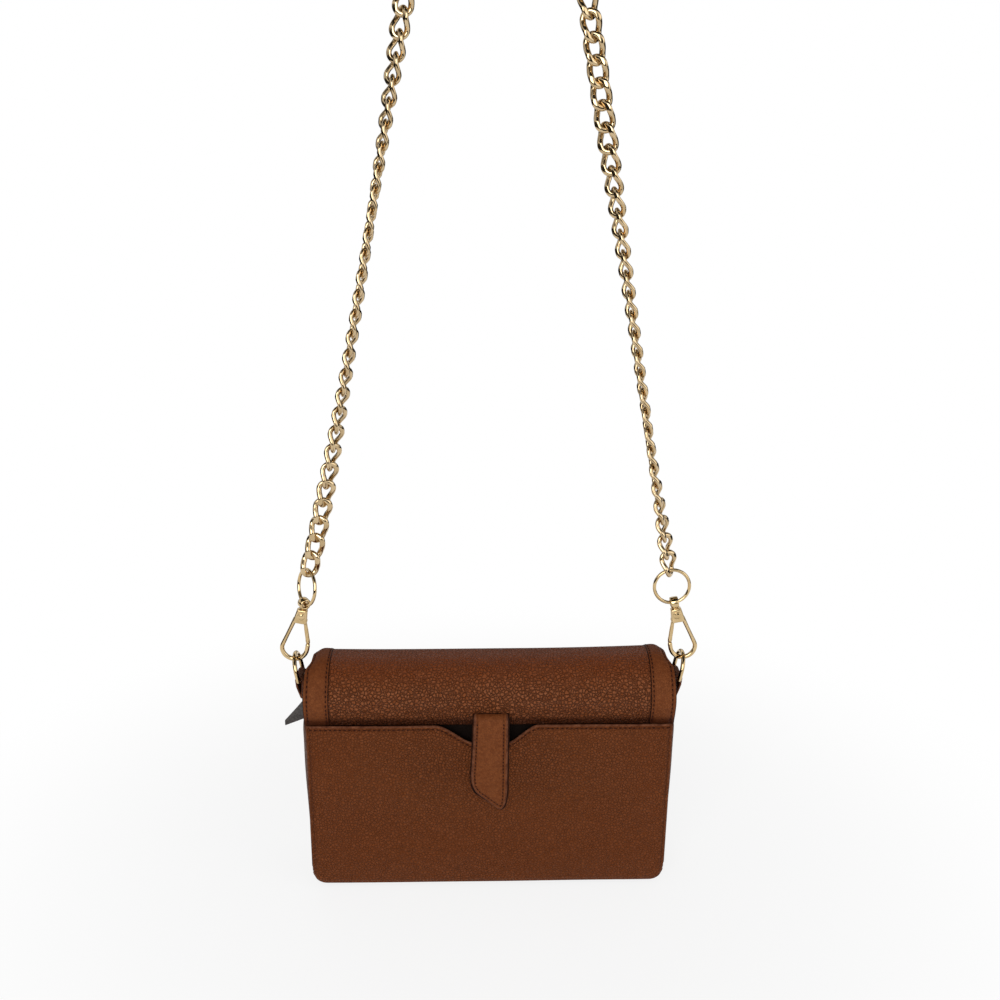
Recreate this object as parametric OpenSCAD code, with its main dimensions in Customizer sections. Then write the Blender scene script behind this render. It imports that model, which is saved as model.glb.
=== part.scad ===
// Small box-shaped flap bag in tan leather, hung by a twisted curb-chain strap.
// Origin: the top of the inside of the strap, where a peg or a shoulder bears.
// Axes: +X to the right of someone who looks at the flap, +Y to the back, +Z up.

/* [Bag] */
// Width across the front
body_w = 213; // [150:1:300]
// Depth from pocket face to back face
body_d = 50; // [38:1:80]
// Height to the top of the rolled flap
body_h = 140; // [110:1:200]
// Depth from the top of the flap to the rim of the outside pocket
rim_depth = 33; // [28:0.5:60]
// Radius of the two lower corners
corner_r = 8; // [3:0.5:16]
// Thickness of the leather panels
leather_t = 2; // [1.4:0.1:3]
// How far each gusset bows outwards
gusset_bow = 4; // [1:0.5:7]
// Front to back room in the outside pocket
pocket_gap = 5.5; // [5:0.5:10]

/* [Pocket dip] */
// Depth of the dip in the rim
dip_depth = 11; // [5:0.5:18]
// Width of the dip at the rim
dip_w = 52; // [40:1:80]
// Width of the flat at the bottom of the dip
dip_floor_w = 18; // [10:1:30]

/* [Flap] */
// How far each end of the flap stays inside the end of the pocket
flap_inset = 1.7; // [1.5:0.1:8]
// How far the flap's ends are drawn in over the top, to pass between the clasps
flap_draw = 1.2; // [1:0.1:6]
// Thickness of the flap's outer leather
flap_skin_t = 1.8; // [1.2:0.1:2.4]
// Thickness of the flap's lining
flap_lining_t = 1.4; // [0.8:0.1:2]
// Outer radius of the roll over the top
roll_r = 22; // [18:0.5:26]
// Radius of the flap's ends where they run over the top
flap_end_r = 5; // [2:0.5:12]
// Height of the middle of the roll above the seam on the back
seam_drop = 10; // [6:0.5:20]
// How far the flap tucks into the pocket
tuck = 2; // [1:0.25:4]
// Width of each sewn end band
band_w = 14; // [8:0.5:20]
// How far an end band stands proud
band_t = 1; // [0.6:0.1:1.6]

/* [Tab] */
// Width of the closing tab
tab_w = 20; // [14:0.5:30]
// Depth from the top of the flap to the slit that the tab hangs from
tab_depth = 23; // [22.5:0.5:26]
// Length of the tab, from the slit to its tip
tab_l = 64.5; // [50:0.5:80]
// Thickness of the tab's outer leather
tab_skin_t = 1.5; // [1:0.1:2]
// Thickness of the tab's backing
tab_back_t = 1.3; // [1:0.1:2]
// Diameter of the hidden magnets
magnet_d = 13; // [8:0.5:14]
// Thickness of the pocket's magnet
magnet_t = 1.6; // [1:0.1:2.4]

/* [Chain] */
// Height from the hooks up to where the strap bears
strap_rise = 456; // [350:2:650]
// Wire diameter of the links
link_wire = 2.3; // [1.6:0.1:2.4]
// Half width of a link, to the middle of its wire
link_half_w = 3.9; // [3.6:0.1:4.5]
// Pitch of the links
link_pitch = 10.8; // [10.5:0.1:13]
// Clear gap between two links that pull on each other
link_gap = 0.5; // [0.4:0.05:0.8]
// Angle that the two ends of a link are wrung apart from its flat
link_wring = 32; // [30:1:36]
// Radius of the bend over the peg
peg_r = 28; // [26:1:60]
// Turn of the chain along its left side
left_turn = 270; // [0:5:300]
// Turn of the chain along its right side
right_turn = 245; // [0:5:300]

/* [Rings] */
// Middle radius of an O-ring
oring_r = 10.2; // [9:0.1:14]
// Wire diameter of an O-ring
oring_wire = 2; // [1.6:0.1:2.6]
// Turn of the left O-ring out of the chain's plane
left_ring_turn = 57; // [40:1:80]
// Middle radius of a D-ring's bow
dring_r = 9; // [8:0.1:11]
// Wire diameter of a D-ring
dring_wire = 2.5; // [2:0.1:3]
// Height from a D-ring's bar to the middle of its bow
dring_rise = 5.2; // [4.5:0.1:8]

/* [Clasps] */
// Height of a hook's lowest wire above the rim of the pocket
hook_rise = 31.2; // [28:0.1:45]
// Distance of a hook outside its gusset
hook_out = 3.5; // [3:0.5:10]
// Wire diameter of a hook
hook_wire = 2.6; // [2.2:0.1:3]
// Middle radius of the hook's round end
hook_r = 7.3; // [6.8:0.1:9]
// Length from the hook's lowest wire to the top of its head
clasp_l = 31.8; // [30:0.2:40]
// Height of the clasp's head
head_h = 8.2; // [7.8:0.1:12]
// Thickness of the clasp's head
head_t = 4.8; // [4.4:0.1:6]
// Diameter of the gate
gate_d = 2.4; // [2:0.1:2.8]
// Diameter of the gate's pin
pin_d = 1.2; // [1:0.1:1.4]

/* [Hidden] */
$fn = 48;
overrun = 1;                       // how far each cut runs past what it cuts
seat = 0.3;                        // gap at rest between curved pieces that bear on each other
slack = 0.5;                       // gap that lets a piece swing past its neighbour
fit = 0.05;                        // radial clearance of a pin
bead = 1.04;                       // how much a joint's ball is bigger than its wire
swing_gap = 0.45;                  // gap between a D-ring and its hook
rim_z = body_h - rim_depth;
front_y = -body_d / 2;
back_y = body_d / 2;
pocket_in_y = front_y + leather_t;
pocket_lining_t = 0.6;
wall_front_y = pocket_in_y + pocket_gap;
wall_back_y = wall_front_y + leather_t;
back_in_y = back_y - leather_t;

// Flap: a C that is hinged at its seam on the back panel
flap_w = body_w - 2 * flap_inset;
flap_play = 1;                     // gap between the tucked edge and the pocket
flap_y = pocket_in_y + flap_play;
flap_t = flap_skin_t + flap_lining_t;
roll_z = body_h - roll_r;
roll_front = flap_y + roll_r;
roll_back = back_y - roll_r;
seam_z = roll_z - seam_drop;
seam_gap = 0.4;
flap_low_z = rim_z - tuck;
draw_low_z = flap_low_z + 0.4 * (roll_z - flap_low_z);   // the ends are drawn in from here
draw_high_z = flap_low_z + 0.6 * (roll_z - flap_low_z);  // to here

// Gussets: bowed strips between the pocket panel and the back panel
gusset_half = body_d / 2 - leather_t;
gusset_r = (gusset_half * gusset_half + gusset_bow * gusset_bow) / (2 * gusset_bow);
gusset_x = body_w / 2 + gusset_bow;
gusset_lean = 0.6;                 // lean of the bowed strip, in degrees
gusset_lean_z = rim_z;

// Linings and boards
lining_t = 0.6;
lining_side = leather_t + 3 * leather_t / 2;
board_t = 1.2;
inner_top_z = rim_z + leather_t;

// Tab
tab_top_z = body_h - tab_depth;
tab_tip_z = tab_top_z - tab_l;
tab_face_y = front_y - slack;      // the tab's back face
tab_t = tab_skin_t + tab_back_t;
magnet_z = tab_tip_z + 0.38 * (rim_z - tab_tip_z);
root_y = flap_y - seat - tab_t / 2;
root_z = tab_top_z;
patch_t = 0.5;
patch_d = magnet_d + 5 * patch_t;

// Zip tail at the left gusset
tail_base = 14;
tail_out = 10.5;
tail_drop = 5;
tail_point = 2.2;
tail_t = 1.6;
tail_z = rim_z - 6.5;

// Strap line: from the hook, tangent to the bend over the peg
hook_x = gusset_x + hook_out;
hook_z = rim_z + hook_rise;
bend_r = peg_r + link_half_w * sin(link_wring) + link_wire / 2;
drop_c = strap_rise - peg_r;
span = sqrt(hook_x * hook_x + drop_c * drop_c);
lean = acos(bend_r / span) - atan(drop_c / hook_x);
bag_z = -hook_z - strap_rise;      // the bag's foot, under the bearing point

turn_ease = 1.4;                   // above one, the left side's turn starts slowly

// Stations along the strap line, from the hook's lowest wire
eye_neck = 0.6;
eye_d = 6.8;
eye_w = 4.8;
eye_s = clasp_l + eye_neck + eye_d / 2;
oring_s = eye_s + oring_r;
link_reach = (link_pitch + link_wire + link_gap) / 2;
link_straight = link_reach - link_half_w;
first_s = oring_s + oring_r - (oring_wire + link_wire) / 2 - seat + link_reach;
side_l = span * sin(acos(bend_r / span)) - first_s;
bend_angle = 180 - 2 * lean;
bend_l = PI * bend_r * bend_angle / 180;
chain_l = 2 * side_l + bend_l;
link_n = round(chain_l / link_pitch) + 1;
pitch = chain_l / (link_n - 1);
side_n = floor(side_l / pitch) + 1;

// Clasp outline, in the strap line's own frame: u outwards, s up the line
hook_shift = hook_r * sin(lean);
hook_c = sqrt(hook_r * hook_r - hook_shift * hook_shift);
head_low_s = clasp_l - head_h;
head_low_in = -3.4;
head_low_out = 4.9;
head_top_in = -2.7;
head_top_out = 3.4;
spine_u = head_low_out - hook_wire / 2;
nose_s = hook_c + 3.6;
pivot_u = -2;
pivot_rise = 1.7;                  // height of the gate's pin above the head's foot
pivot_s = head_low_s + pivot_rise;
knuckle_d = 3;
knuckle_w = 2;
gate_play = 0.2;
leaf_l = 2.2;
leaf_t = 0.25;
rivet_d = 4.4;
rivet_h = 0.5;
rivet_s = head_low_s + 0.55 * head_h;
post_d = 2.4;
post_foot_d = 3.4;
post_foot_t = 1;
post_gap = 0.35;                   // between the post's foot and the gate's leaf
post_in = head_h - pivot_rise - knuckle_d / 2 - gate_play - leaf_t - post_foot_t - post_gap;

// Colours, as seen
tan_leather = [0.42, 0.24, 0.15];
dark_leather = [0.33, 0.18, 0.11];
black_cloth = [0.08, 0.06, 0.05];
grey_tape = [0.35, 0.34, 0.33];
gold = [0.84, 0.70, 0.48];
steel = [0.6, 0.6, 0.6];
board = [0.5, 0.42, 0.3];

// Which piece to show

// Places

// The bag's own frame: its foot at zero, the strap in the plane y = 0
module at_bag() translate([0, 0, bag_z]) children();

// The frame of one strap line: side is 1 on the right and -1 on the left
module at_strap(side)
    at_bag() translate([side * hook_x, 0, hook_z])
    rotate([0, -side * lean, 0]) mirror([side < 0 ? 1 : 0, 0, 0]) children();

// Extrudes an outline drawn in x and z, from y0 towards the back
module plate(y0, t) translate([0, y0 + t, 0]) rotate([90, 0, 0]) linear_extrude(t) children();

// Extrudes an outline drawn in y and z, centred on x = 0
module across(w) rotate([90, 0, 90]) linear_extrude(w, center = true) children();

// A round bar between two points
module bar(a, b, d) {
    run = b - a;
    l = norm(run);
    translate(a) rotate([0, acos(run[2] / l), atan2(run[1], run[0])]) cylinder(h = l, d = d);
}

// Part of a ring of wire, in the plane x-z, from angle a on through sweep
module wire_arc(r, d, a, sweep)
    rotate([90, 0, 0]) rotate([0, 0, a]) rotate_extrude(angle = sweep)
    translate([r, 0]) circle(d = d, $fn = 32);

// Chain

// One link of twisted curb chain: its flat in x-z, its ends wrung apart
module curb_link() {
    wx = link_half_w * cos(link_wring);
    wy = link_half_w * sin(link_wring);
    for (end = [1, -1]) {
        translate([0, 0, end * link_straight]) rotate([0, 0, -end * link_wring])
            wire_arc(link_half_w, link_wire, end > 0 ? 0 : 180, 180);
        bar([end * wx, -end * wy, link_straight], [end * wx, end * wy, -link_straight], link_wire);
        for (z = [1, -1])
            translate([end * wx, -z * end * wy, z * link_straight]) sphere(d = link_wire, $fn = 32);
    }
}

// Place on the strap's loop at a length l from the middle of the first link: x, z, tilt
function place(l) =
    l <= side_l ? side_point(first_s + l, -1) :
    l >= side_l + bend_l ? side_point(first_s + chain_l - l, 1) :
    let (a = (l - side_l) / bend_l * bend_angle + lean)
    [-bend_r * cos(a), bend_r * sin(a) - peg_r, a];
function side_point(s, side) =
    [side * (hook_x - s * sin(lean)), s * cos(lean) - strap_rise,
     side < 0 ? lean : 180 - lean];
function turn(l) =
    l <= side_l ? left_turn * pow(max(l, 0) / side_l, turn_ease) :
    l >= side_l + bend_l ? left_turn + right_turn * (l - side_l - bend_l) / side_l :
    left_turn;

module chain(first, last)
    for (i = [first : last]) {
        p = place(i * pitch);
        translate([p[0], 0, p[1]]) rotate([0, p[2], 0]) rotate([0, 0, turn(i * pitch)]) curb_link();
    }
module chain_left() color(gold) chain(0, side_n - 2);
module chain_over() color(gold) chain(side_n - 1, link_n - side_n);
module chain_right() color(gold) chain(link_n - side_n + 1, link_n - 1);

// Rings and clasps

module oring(side, turned)
    at_strap(side) translate([0, 0, oring_s]) rotate([0, 0, turned])
    rotate([90, 0, 0]) rotate_extrude() translate([oring_r, 0]) circle(d = oring_wire, $fn = 32);
module oring_left() color(gold) oring(-1, left_ring_turn);
module oring_right() color(gold) oring(1, 0);

// The eye that the O-ring runs through, with the post that turns in the clasp's head
module swivel_eye(side, turned)
    at_strap(side) rotate([0, 0, turned]) difference() {
        union() {
            translate([-eye_w / 2, 0, eye_s]) rotate([0, 90, 0]) cylinder(h = eye_w, d = eye_d);
            translate([0, 0, clasp_l - post_in]) cylinder(h = eye_s - clasp_l, d = post_d);
            translate([0, 0, clasp_l - post_in - post_foot_t])
                cylinder(h = post_foot_t, d = post_foot_d);
            translate([0, 0, clasp_l - post_in - fit]) cylinder(h = post_in + eye_neck, d = post_d);
        }
        translate([-eye_w / 2 - overrun, 0, eye_s + seat / 2]) rotate([0, 90, 0])
            cylinder(h = eye_w + 2 * overrun, d = oring_wire + 5 * seat);
    }
module swivel_eye_left() color(gold) swivel_eye(-1, left_ring_turn);
module swivel_eye_right() color(gold) swivel_eye(1, 0);

// Head, spine, round end and nose of a hook
module clasp(side)
    at_strap(side) {
        difference() {
            translate([0, head_t / 2, 0]) rotate([90, 0, 0]) linear_extrude(head_t)
                polygon([[head_low_in, head_low_s], [head_low_out, head_low_s],
                         [head_top_out, clasp_l], [head_top_in, clasp_l]]);
            translate([0, 0, clasp_l - post_in - fit])
                cylinder(h = post_in + overrun, d = post_d + 2 * fit);
            translate([0, 0, clasp_l - post_in - post_foot_t - 2 * fit])
                cylinder(h = post_foot_t + 2 * fit, d = post_foot_d + 2 * fit);
            knuckle_room();
            translate([pivot_u, 0, pivot_s]) rotate([90, 0, 0])
                cylinder(h = head_t + 2 * overrun, d = pin_d + fit / 2, center = true);
            for (face = [1, -1])
                translate([rivet_u(), face * head_t / 2, rivet_s]) rotate([90, 0, 0])
                    cylinder(h = rivet_h, d = rivet_d + fit, center = true);
        }
        bar([spine_u, 0, head_low_s + hook_wire / 2],
            [hook_shift + hook_r, 0, hook_c], hook_wire);
        translate([hook_shift + hook_r, 0, hook_c]) sphere(d = bead * hook_wire, $fn = 32);
        translate([hook_shift, 0, hook_c]) wire_arc(hook_r, hook_wire, 180, 180);
        bar([hook_shift - hook_r, 0, hook_c], [hook_shift - hook_r, 0, nose_s], hook_wire);
    }
function rivet_u() = (head_top_in + head_top_out) / 2;
module knuckle_room()
    translate([pivot_u, 0, pivot_s]) rotate([90, 0, 0])
    linear_extrude(knuckle_w + 2 * gate_play, center = true) {
        circle(d = knuckle_d + 2 * gate_play);
        translate([-2 * knuckle_d, -2 * knuckle_d]) square([3 * knuckle_d, 2 * knuckle_d]);
        translate([-leaf_l / 2 - gate_play, 0])
            square([leaf_l + 2 * gate_play, knuckle_d / 2 + leaf_t + gate_play]);
    }
module clasp_left() color(gold) clasp(-1);
module clasp_right() color(gold) clasp(1);

module clasp_gate(side) {
    tip = [hook_shift - hook_r, 0, nose_s + gate_d / 2 + gate_play];
    knuckle = [pivot_u, 0, pivot_s];
    at_strap(side) difference() {
        union() {
            bar(tip, knuckle, gate_d);
            translate(knuckle) rotate([90, 0, 0])
                cylinder(h = knuckle_w, d = knuckle_d, center = true);
        }
        translate(knuckle) rotate([90, 0, 0])
            cylinder(h = knuckle_w + 2 * overrun, d = pin_d + 2 * fit, center = true);
        for (face = [1, -1])
            translate(knuckle + [0, face * (knuckle_w / 2 + knuckle_d / 2), 0])
                cube([2 * knuckle_d, knuckle_d, 2 * knuckle_d], center = true);
    }
}
module clasp_gate_left() color(gold) clasp_gate(-1);
module clasp_gate_right() color(gold) clasp_gate(1);

module gate_pin(side)
    at_strap(side) translate([pivot_u, 0, pivot_s]) rotate([90, 0, 0])
    cylinder(h = head_t, d = pin_d, center = true);
module gate_pin_left() color(gold) gate_pin(-1);
module gate_pin_right() color(gold) gate_pin(1);

// A thin leaf in the knuckle's room that presses the gate shut
module gate_spring(side)
    at_strap(side) translate([pivot_u, 0, pivot_s + knuckle_d / 2 + gate_play / 2 + leaf_t / 2])
    cube([leaf_l, knuckle_w, leaf_t], center = true);
module gate_spring_left() color(steel) gate_spring(-1);
module gate_spring_right() color(steel) gate_spring(1);

// The plain round boss on each face of a head
module clasp_rivet(side)
    at_strap(side) for (face = [1, -1])
    translate([rivet_u(), face * head_t / 2, rivet_s]) rotate([90, 0, 0]) difference() {
        cylinder(h = rivet_h, d = rivet_d, center = true);
        translate([0, 0, -face * rivet_h / 2]) rotate_extrude()
            translate([rivet_d / 2 - rivet_h, 0]) circle(d = rivet_h / 2, $fn = 16);
    }
module clasp_rivet_left() color(gold) clasp_rivet(-1);
module clasp_rivet_right() color(gold) clasp_rivet(1);

// D-rings, each with its bar in a leather loop sewn on the gusset

function dring_bow_z() = hook_z + hook_wire / 2 + swing_gap + dring_wire / 2;
function dring_bar_z() = dring_bow_z() - dring_r - dring_rise;
module dring(side)
    at_bag() translate([side * hook_x, 0, 0]) {
        translate([0, 0, dring_bow_z() - dring_r]) rotate([0, 0, 90])
            wire_arc(dring_r, dring_wire, 0, 180);
        for (y = [dring_r, -dring_r]) {
            bar([0, y, dring_bar_z()], [0, y, dring_bow_z() - dring_r], dring_wire);
            translate([0, y, dring_bar_z()]) sphere(d = dring_wire, $fn = 32);
        }
        bar([0, -dring_r, dring_bar_z()], [0, dring_r, dring_bar_z()], dring_wire);
    }
module dring_left() color(gold) dring(-1);
module dring_right() color(gold) dring(1);

loop_w = 2 * dring_r - dring_wire - 2 * slack;
loop_t = 1.2;
loop_l = 11.5;
loop_bore = dring_wire + 2 * fit;
module dring_tab(side)
    at_bag() mirror([side < 0 ? 1 : 0, 0, 0]) difference() {
        union() {
            translate([hook_x, 0, dring_bar_z()]) rotate([90, 0, 0])
                cylinder(h = loop_w, d = loop_bore + 2 * loop_t, center = true);
            translate([tab_seat_x(), -loop_w / 2, dring_bar_z() - loop_l])
                cube([hook_x + loop_bore / 2 + loop_t - tab_seat_x(), loop_w, loop_l]);
        }
        translate([hook_x, 0, dring_bar_z()]) rotate([90, 0, 0])
            cylinder(h = loop_w + 2 * overrun, d = loop_bore, center = true);
        gusset_cutter(seat / 3);
    }
function tab_seat_x() = gusset_x - leather_t;
module dring_tab_left() color(dark_leather) dring_tab(-1);
module dring_tab_right() color(dark_leather) dring_tab(1);

// Everything inside a gusset's outer face, grown by extra
module gusset_cutter(extra)
    translate([gusset_x - gusset_r, 0, 0]) translate([0, 0, gusset_lean_z])
    rotate([0, gusset_lean, 0]) translate([0, 0, -2 * body_h])
    cylinder(h = 4 * body_h, r = gusset_r + extra, $fn = 96);

// Box of the bag

// Outline of a panel with two round lower corners, flat on top at the height h
module panel_outline(w, h, r) {
    translate([-w / 2, r]) square([w, h - r]);
    translate([r - w / 2, 0]) square([w - 2 * r, r + overrun]);
    for (x = [r - w / 2, w / 2 - r]) translate([x, r]) circle(r);
}

// The dip: a shallow trough with sloping shoulders
module dip_outline()
    polygon([[-dip_w / 2 - overrun, rim_z + overrun], [-dip_w / 2, rim_z],
             [-dip_w / 2 + dip_depth / 2, rim_z - dip_depth / 8],
             [-dip_floor_w / 2 - dip_depth / 2, rim_z - 7 * dip_depth / 8],
             [-dip_floor_w / 2, rim_z - dip_depth], [dip_floor_w / 2, rim_z - dip_depth],
             [dip_floor_w / 2 + dip_depth / 2, rim_z - 7 * dip_depth / 8],
             [dip_w / 2 - dip_depth / 2, rim_z - dip_depth / 8],
             [dip_w / 2, rim_z], [dip_w / 2 + overrun, rim_z + overrun]]);
module pocket_panel()
    color(tan_leather) at_bag() plate(front_y, leather_t) difference() {
        panel_outline(body_w, rim_z, corner_r);
        dip_outline();
    }
module front_wall()
    color(black_cloth) at_bag() plate(wall_front_y, leather_t) translate([0, leather_t])
    panel_outline(body_w - 2 * lining_side, inner_top_z - leather_t, corner_r);
module pocket_lining()
    color(black_cloth) at_bag() plate(wall_front_y - pocket_lining_t, pocket_lining_t)
    translate([0, leather_t])
    panel_outline(body_w - 2 * lining_side, inner_top_z - leather_t, corner_r);
module back_panel()
    color(tan_leather) at_bag() plate(back_in_y, leather_t)
    panel_outline(body_w, seam_z - seam_gap / 2, corner_r);

// The bottom turns up at both ends with the round corners
module bottom_panel()
    color(tan_leather) at_bag() plate(pocket_in_y, back_in_y - pocket_in_y) intersection() {
        difference() {
            panel_outline(body_w, 2 * corner_r, corner_r);
            translate([0, leather_t])
                panel_outline(body_w - 2 * leather_t, 2 * corner_r, corner_r - leather_t);
        }
        translate([-body_w / 2, 0]) square([body_w, corner_r]);
    }
module gusset(side)
    at_bag() mirror([side < 0 ? 1 : 0, 0, 0]) intersection() {
        difference() {
            gusset_cutter(0);
            gusset_cutter(-leather_t);
        }
        translate([body_w / 2, 0, 0]) across(4 * gusset_bow + 4 * leather_t)
            polygon([[pocket_in_y, corner_r], [back_in_y, corner_r], [back_in_y, seam_z - 3 * leather_t],
                     [back_in_y - flap_t, seam_z], [gusset_half - flap_t, roll_z],
                     [gusset_half / 2, gusset_top_z()], [-gusset_half / 2, gusset_top_z()],
                     [flap_y + flap_t + 3 * slack, roll_z],
                     [flap_y + flap_t + slack, flap_low_z],
                     [pocket_in_y, rim_z - 2 * tuck]]);
    }
function gusset_top_z() = body_h - flap_t - roll_r / 2.6;
module gusset_left() color(dark_leather) gusset(-1);
module gusset_right() color(dark_leather) gusset(1);

// Thin open-topped cloth box in the main room
module inner_lining() {
    w = body_w - 2 * lining_side;
    d = back_in_y - wall_back_y;
    color(black_cloth) at_bag() translate([0, 0, leather_t + board_t]) difference() {
        plate(wall_back_y, d) panel_outline(w, inner_top_z - 2 * leather_t - board_t, corner_r);
        translate([0, 0, lining_t]) plate(wall_back_y + lining_t, d - 2 * lining_t)
            panel_outline(w - 2 * lining_t, inner_top_z, corner_r - lining_t);
    }
}
module bottom_board()
    color(board) at_bag() translate([-body_w / 2 + 2 * corner_r, wall_back_y, leather_t])
    cube([body_w - 4 * corner_r, back_in_y - wall_back_y, board_t]);
module pocket_magnet()
    color(steel) at_bag() plate(pocket_in_y, magnet_t) translate([0, magnet_z]) circle(d = magnet_d);
module magnet_patch()
    color(black_cloth) at_bag() difference() {
        plate(pocket_in_y, magnet_t + patch_t) translate([0, magnet_z]) circle(d = patch_d);
        plate(pocket_in_y - overrun, magnet_t + overrun)
            translate([0, magnet_z]) circle(d = magnet_d + 2 * fit);
    }

// The end of the zip's tape, folded to a point, that peeps out beside the left gusset
module zip_tail()
    color(grey_tape) at_bag() difference() {
        plate(-tail_t / 2, tail_t) translate([-gusset_x, tail_z])
            polygon([[leather_t, 0], [0, 0], [-tail_out + tail_point, -tail_drop],
                     [-tail_out, tail_point - tail_drop], [0, tail_base], [leather_t, tail_base]]);
        mirror([1, 0, 0]) gusset_cutter(seat / 3);
    }

// Flap

// Section of the flap at the depth in from its outer face
module flap_section(depth) {
    r = roll_r - depth;
    difference() {
        union() {
            translate([roll_front, roll_z]) circle(r, $fn = 96);
            translate([roll_back, roll_z]) circle(r, $fn = 96);
            translate([roll_front - r, flap_low_z])
                square([roll_back - roll_front + 2 * r, roll_z - flap_low_z]);
        }
        translate([roll_front - r - overrun, flap_low_z - 2 * roll_r])
            square([roll_back - roll_front + 2 * r + 2 * overrun, 2 * roll_r]);
    }
}
// One layer of the flap, from the depth a to the depth b, over the width w, that starts
// at the back by the height lift above the seam
module flap_layer(a, b, w, lift = 0)
    at_bag() difference() {
        across(w) flap_section(a);
        across(w + 2 * overrun) flap_core(b);
        translate([-w / 2 - overrun, 0, flap_low_z - overrun])
            cube([w + 2 * overrun, body_d, seam_z + seam_gap / 2 + lift - flap_low_z + overrun]);
    }
// What the layer goes round, open below
module flap_core(depth) {
    flap_section(depth);
    translate([flap_y + depth, flap_low_z - overrun])
        square([back_y - flap_y - 2 * depth, roll_z - flap_low_z]);
}
// Where the ends of the flap are drawn in over the top
module end_room() {
    w = flap_w / 2 - flap_draw;
    at_bag() plate(-body_d, 2 * body_d) {
        polygon([[-flap_w / 2 - fit, 0], [flap_w / 2 + fit, 0], [flap_w / 2 + fit, draw_low_z],
                 [flap_w / 2, draw_low_z], [w, draw_high_z], [w, body_h - flap_end_r],
                 [-w, body_h - flap_end_r], [-w, draw_high_z], [-flap_w / 2, draw_low_z],
                 [-flap_w / 2 - fit, draw_low_z]]);
        translate([flap_end_r - w, 0]) square([2 * (w - flap_end_r), body_h + band_t]);
        for (side = [1, -1])
            translate([side * (w - flap_end_r), body_h - flap_end_r])
                circle(flap_end_r, $fn = 64);
    }
}
module flap_shell()
    color(tan_leather) intersection() {
        difference() {
            flap_layer(0, flap_skin_t, flap_w);
            for (side = [1, -1]) band_room(side);
        }
        end_room();
    }
module flap_lining()
    color(dark_leather) intersection() {
        flap_layer(flap_skin_t, flap_t, flap_w);
        end_room();
    }
module band_room(side)
    translate([side * (flap_w / 2 - band_w / 2), 0, 0])
        flap_layer(-overrun, band_t / 2, band_w + 2 * fit, band_t);
module flap_band(side)
    intersection() {
        translate([side * (flap_w / 2 - band_w / 2), 0, 0])
            flap_layer(-band_t / 2, band_t / 2, band_w, band_t);
        end_room();
    }
module flap_band_left() color(dark_leather) flap_band(-1);
module flap_band_right() color(dark_leather) flap_band(1);

// Tab: one straight edge, and a round lower corner that runs into the slanting end
module tab_outline(inset) {
    w = tab_w / 2 - inset;
    low = tab_tip_z + inset;
    shoulder = tab_tip_z + 0.8 * tab_w;
    tip_r = tab_w / 14;
    hull() {
        translate([-w, tab_top_z - 1.5 * tab_t - tab_w / 2]) square([2 * w, tab_w / 2]);
        translate([-w + tab_w / 3, shoulder + inset]) circle(tab_w / 3, $fn = 64);
        translate([w - tip_r - tab_w / 40, low + tip_r]) circle(tip_r, $fn = 32);
    }
}
// The tab's root turns back to the slit in the flap, with a round end that it swings on
module tab_root()
    across(tab_w) {
        translate([root_y, root_z]) circle(d = tab_t, $fn = 32);
        polygon([[root_y, root_z + tab_t / 2], [tab_face_y - tab_t / 2, root_z + tab_t / 4],
                 [tab_face_y - tab_t, root_z - tab_t / 2], [tab_face_y - tab_t, root_z - 2 * tab_t],
                 [tab_face_y, root_z - 2 * tab_t], [tab_face_y, root_z - tab_t / 2],
                 [root_y, root_z - tab_t / 2]]);
    }
module tab_front()
    color(tan_leather) at_bag() {
        plate(tab_face_y - tab_t, tab_skin_t) tab_outline(0);
        tab_root();
    }
module tab_backing()
    color(dark_leather) at_bag() plate(tab_face_y - tab_back_t, tab_back_t) difference() {
        tab_outline(0);
        translate([0, magnet_z]) circle(d = magnet_d + 2 * fit);
        translate([-tab_w, root_z - 2 * tab_t]) square([2 * tab_w, 2 * tab_t]);
    }
module tab_magnet()
    color(steel) at_bag() plate(tab_face_y - tab_back_t, tab_back_t)
    translate([0, magnet_z]) circle(d = magnet_d);

chain_left();
chain_over();
chain_right();
oring_left();
oring_right();
swivel_eye_left();
swivel_eye_right();
clasp_left();
clasp_right();
clasp_gate_left();
clasp_gate_right();
gate_pin_left();
gate_pin_right();
gate_spring_left();
gate_spring_right();
clasp_rivet_left();
clasp_rivet_right();
dring_left();
dring_right();
dring_tab_left();
dring_tab_right();
pocket_panel();
pocket_lining();
front_wall();
back_panel();
bottom_panel();
gusset_left();
gusset_right();
inner_lining();
bottom_board();
pocket_magnet();
magnet_patch();
zip_tail();
flap_shell();
flap_lining();
flap_band_left();
flap_band_right();
tab_front();
tab_backing();
tab_magnet();
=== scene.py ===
import math
import bpy
import numpy as np
from mathutils import Matrix

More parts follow.
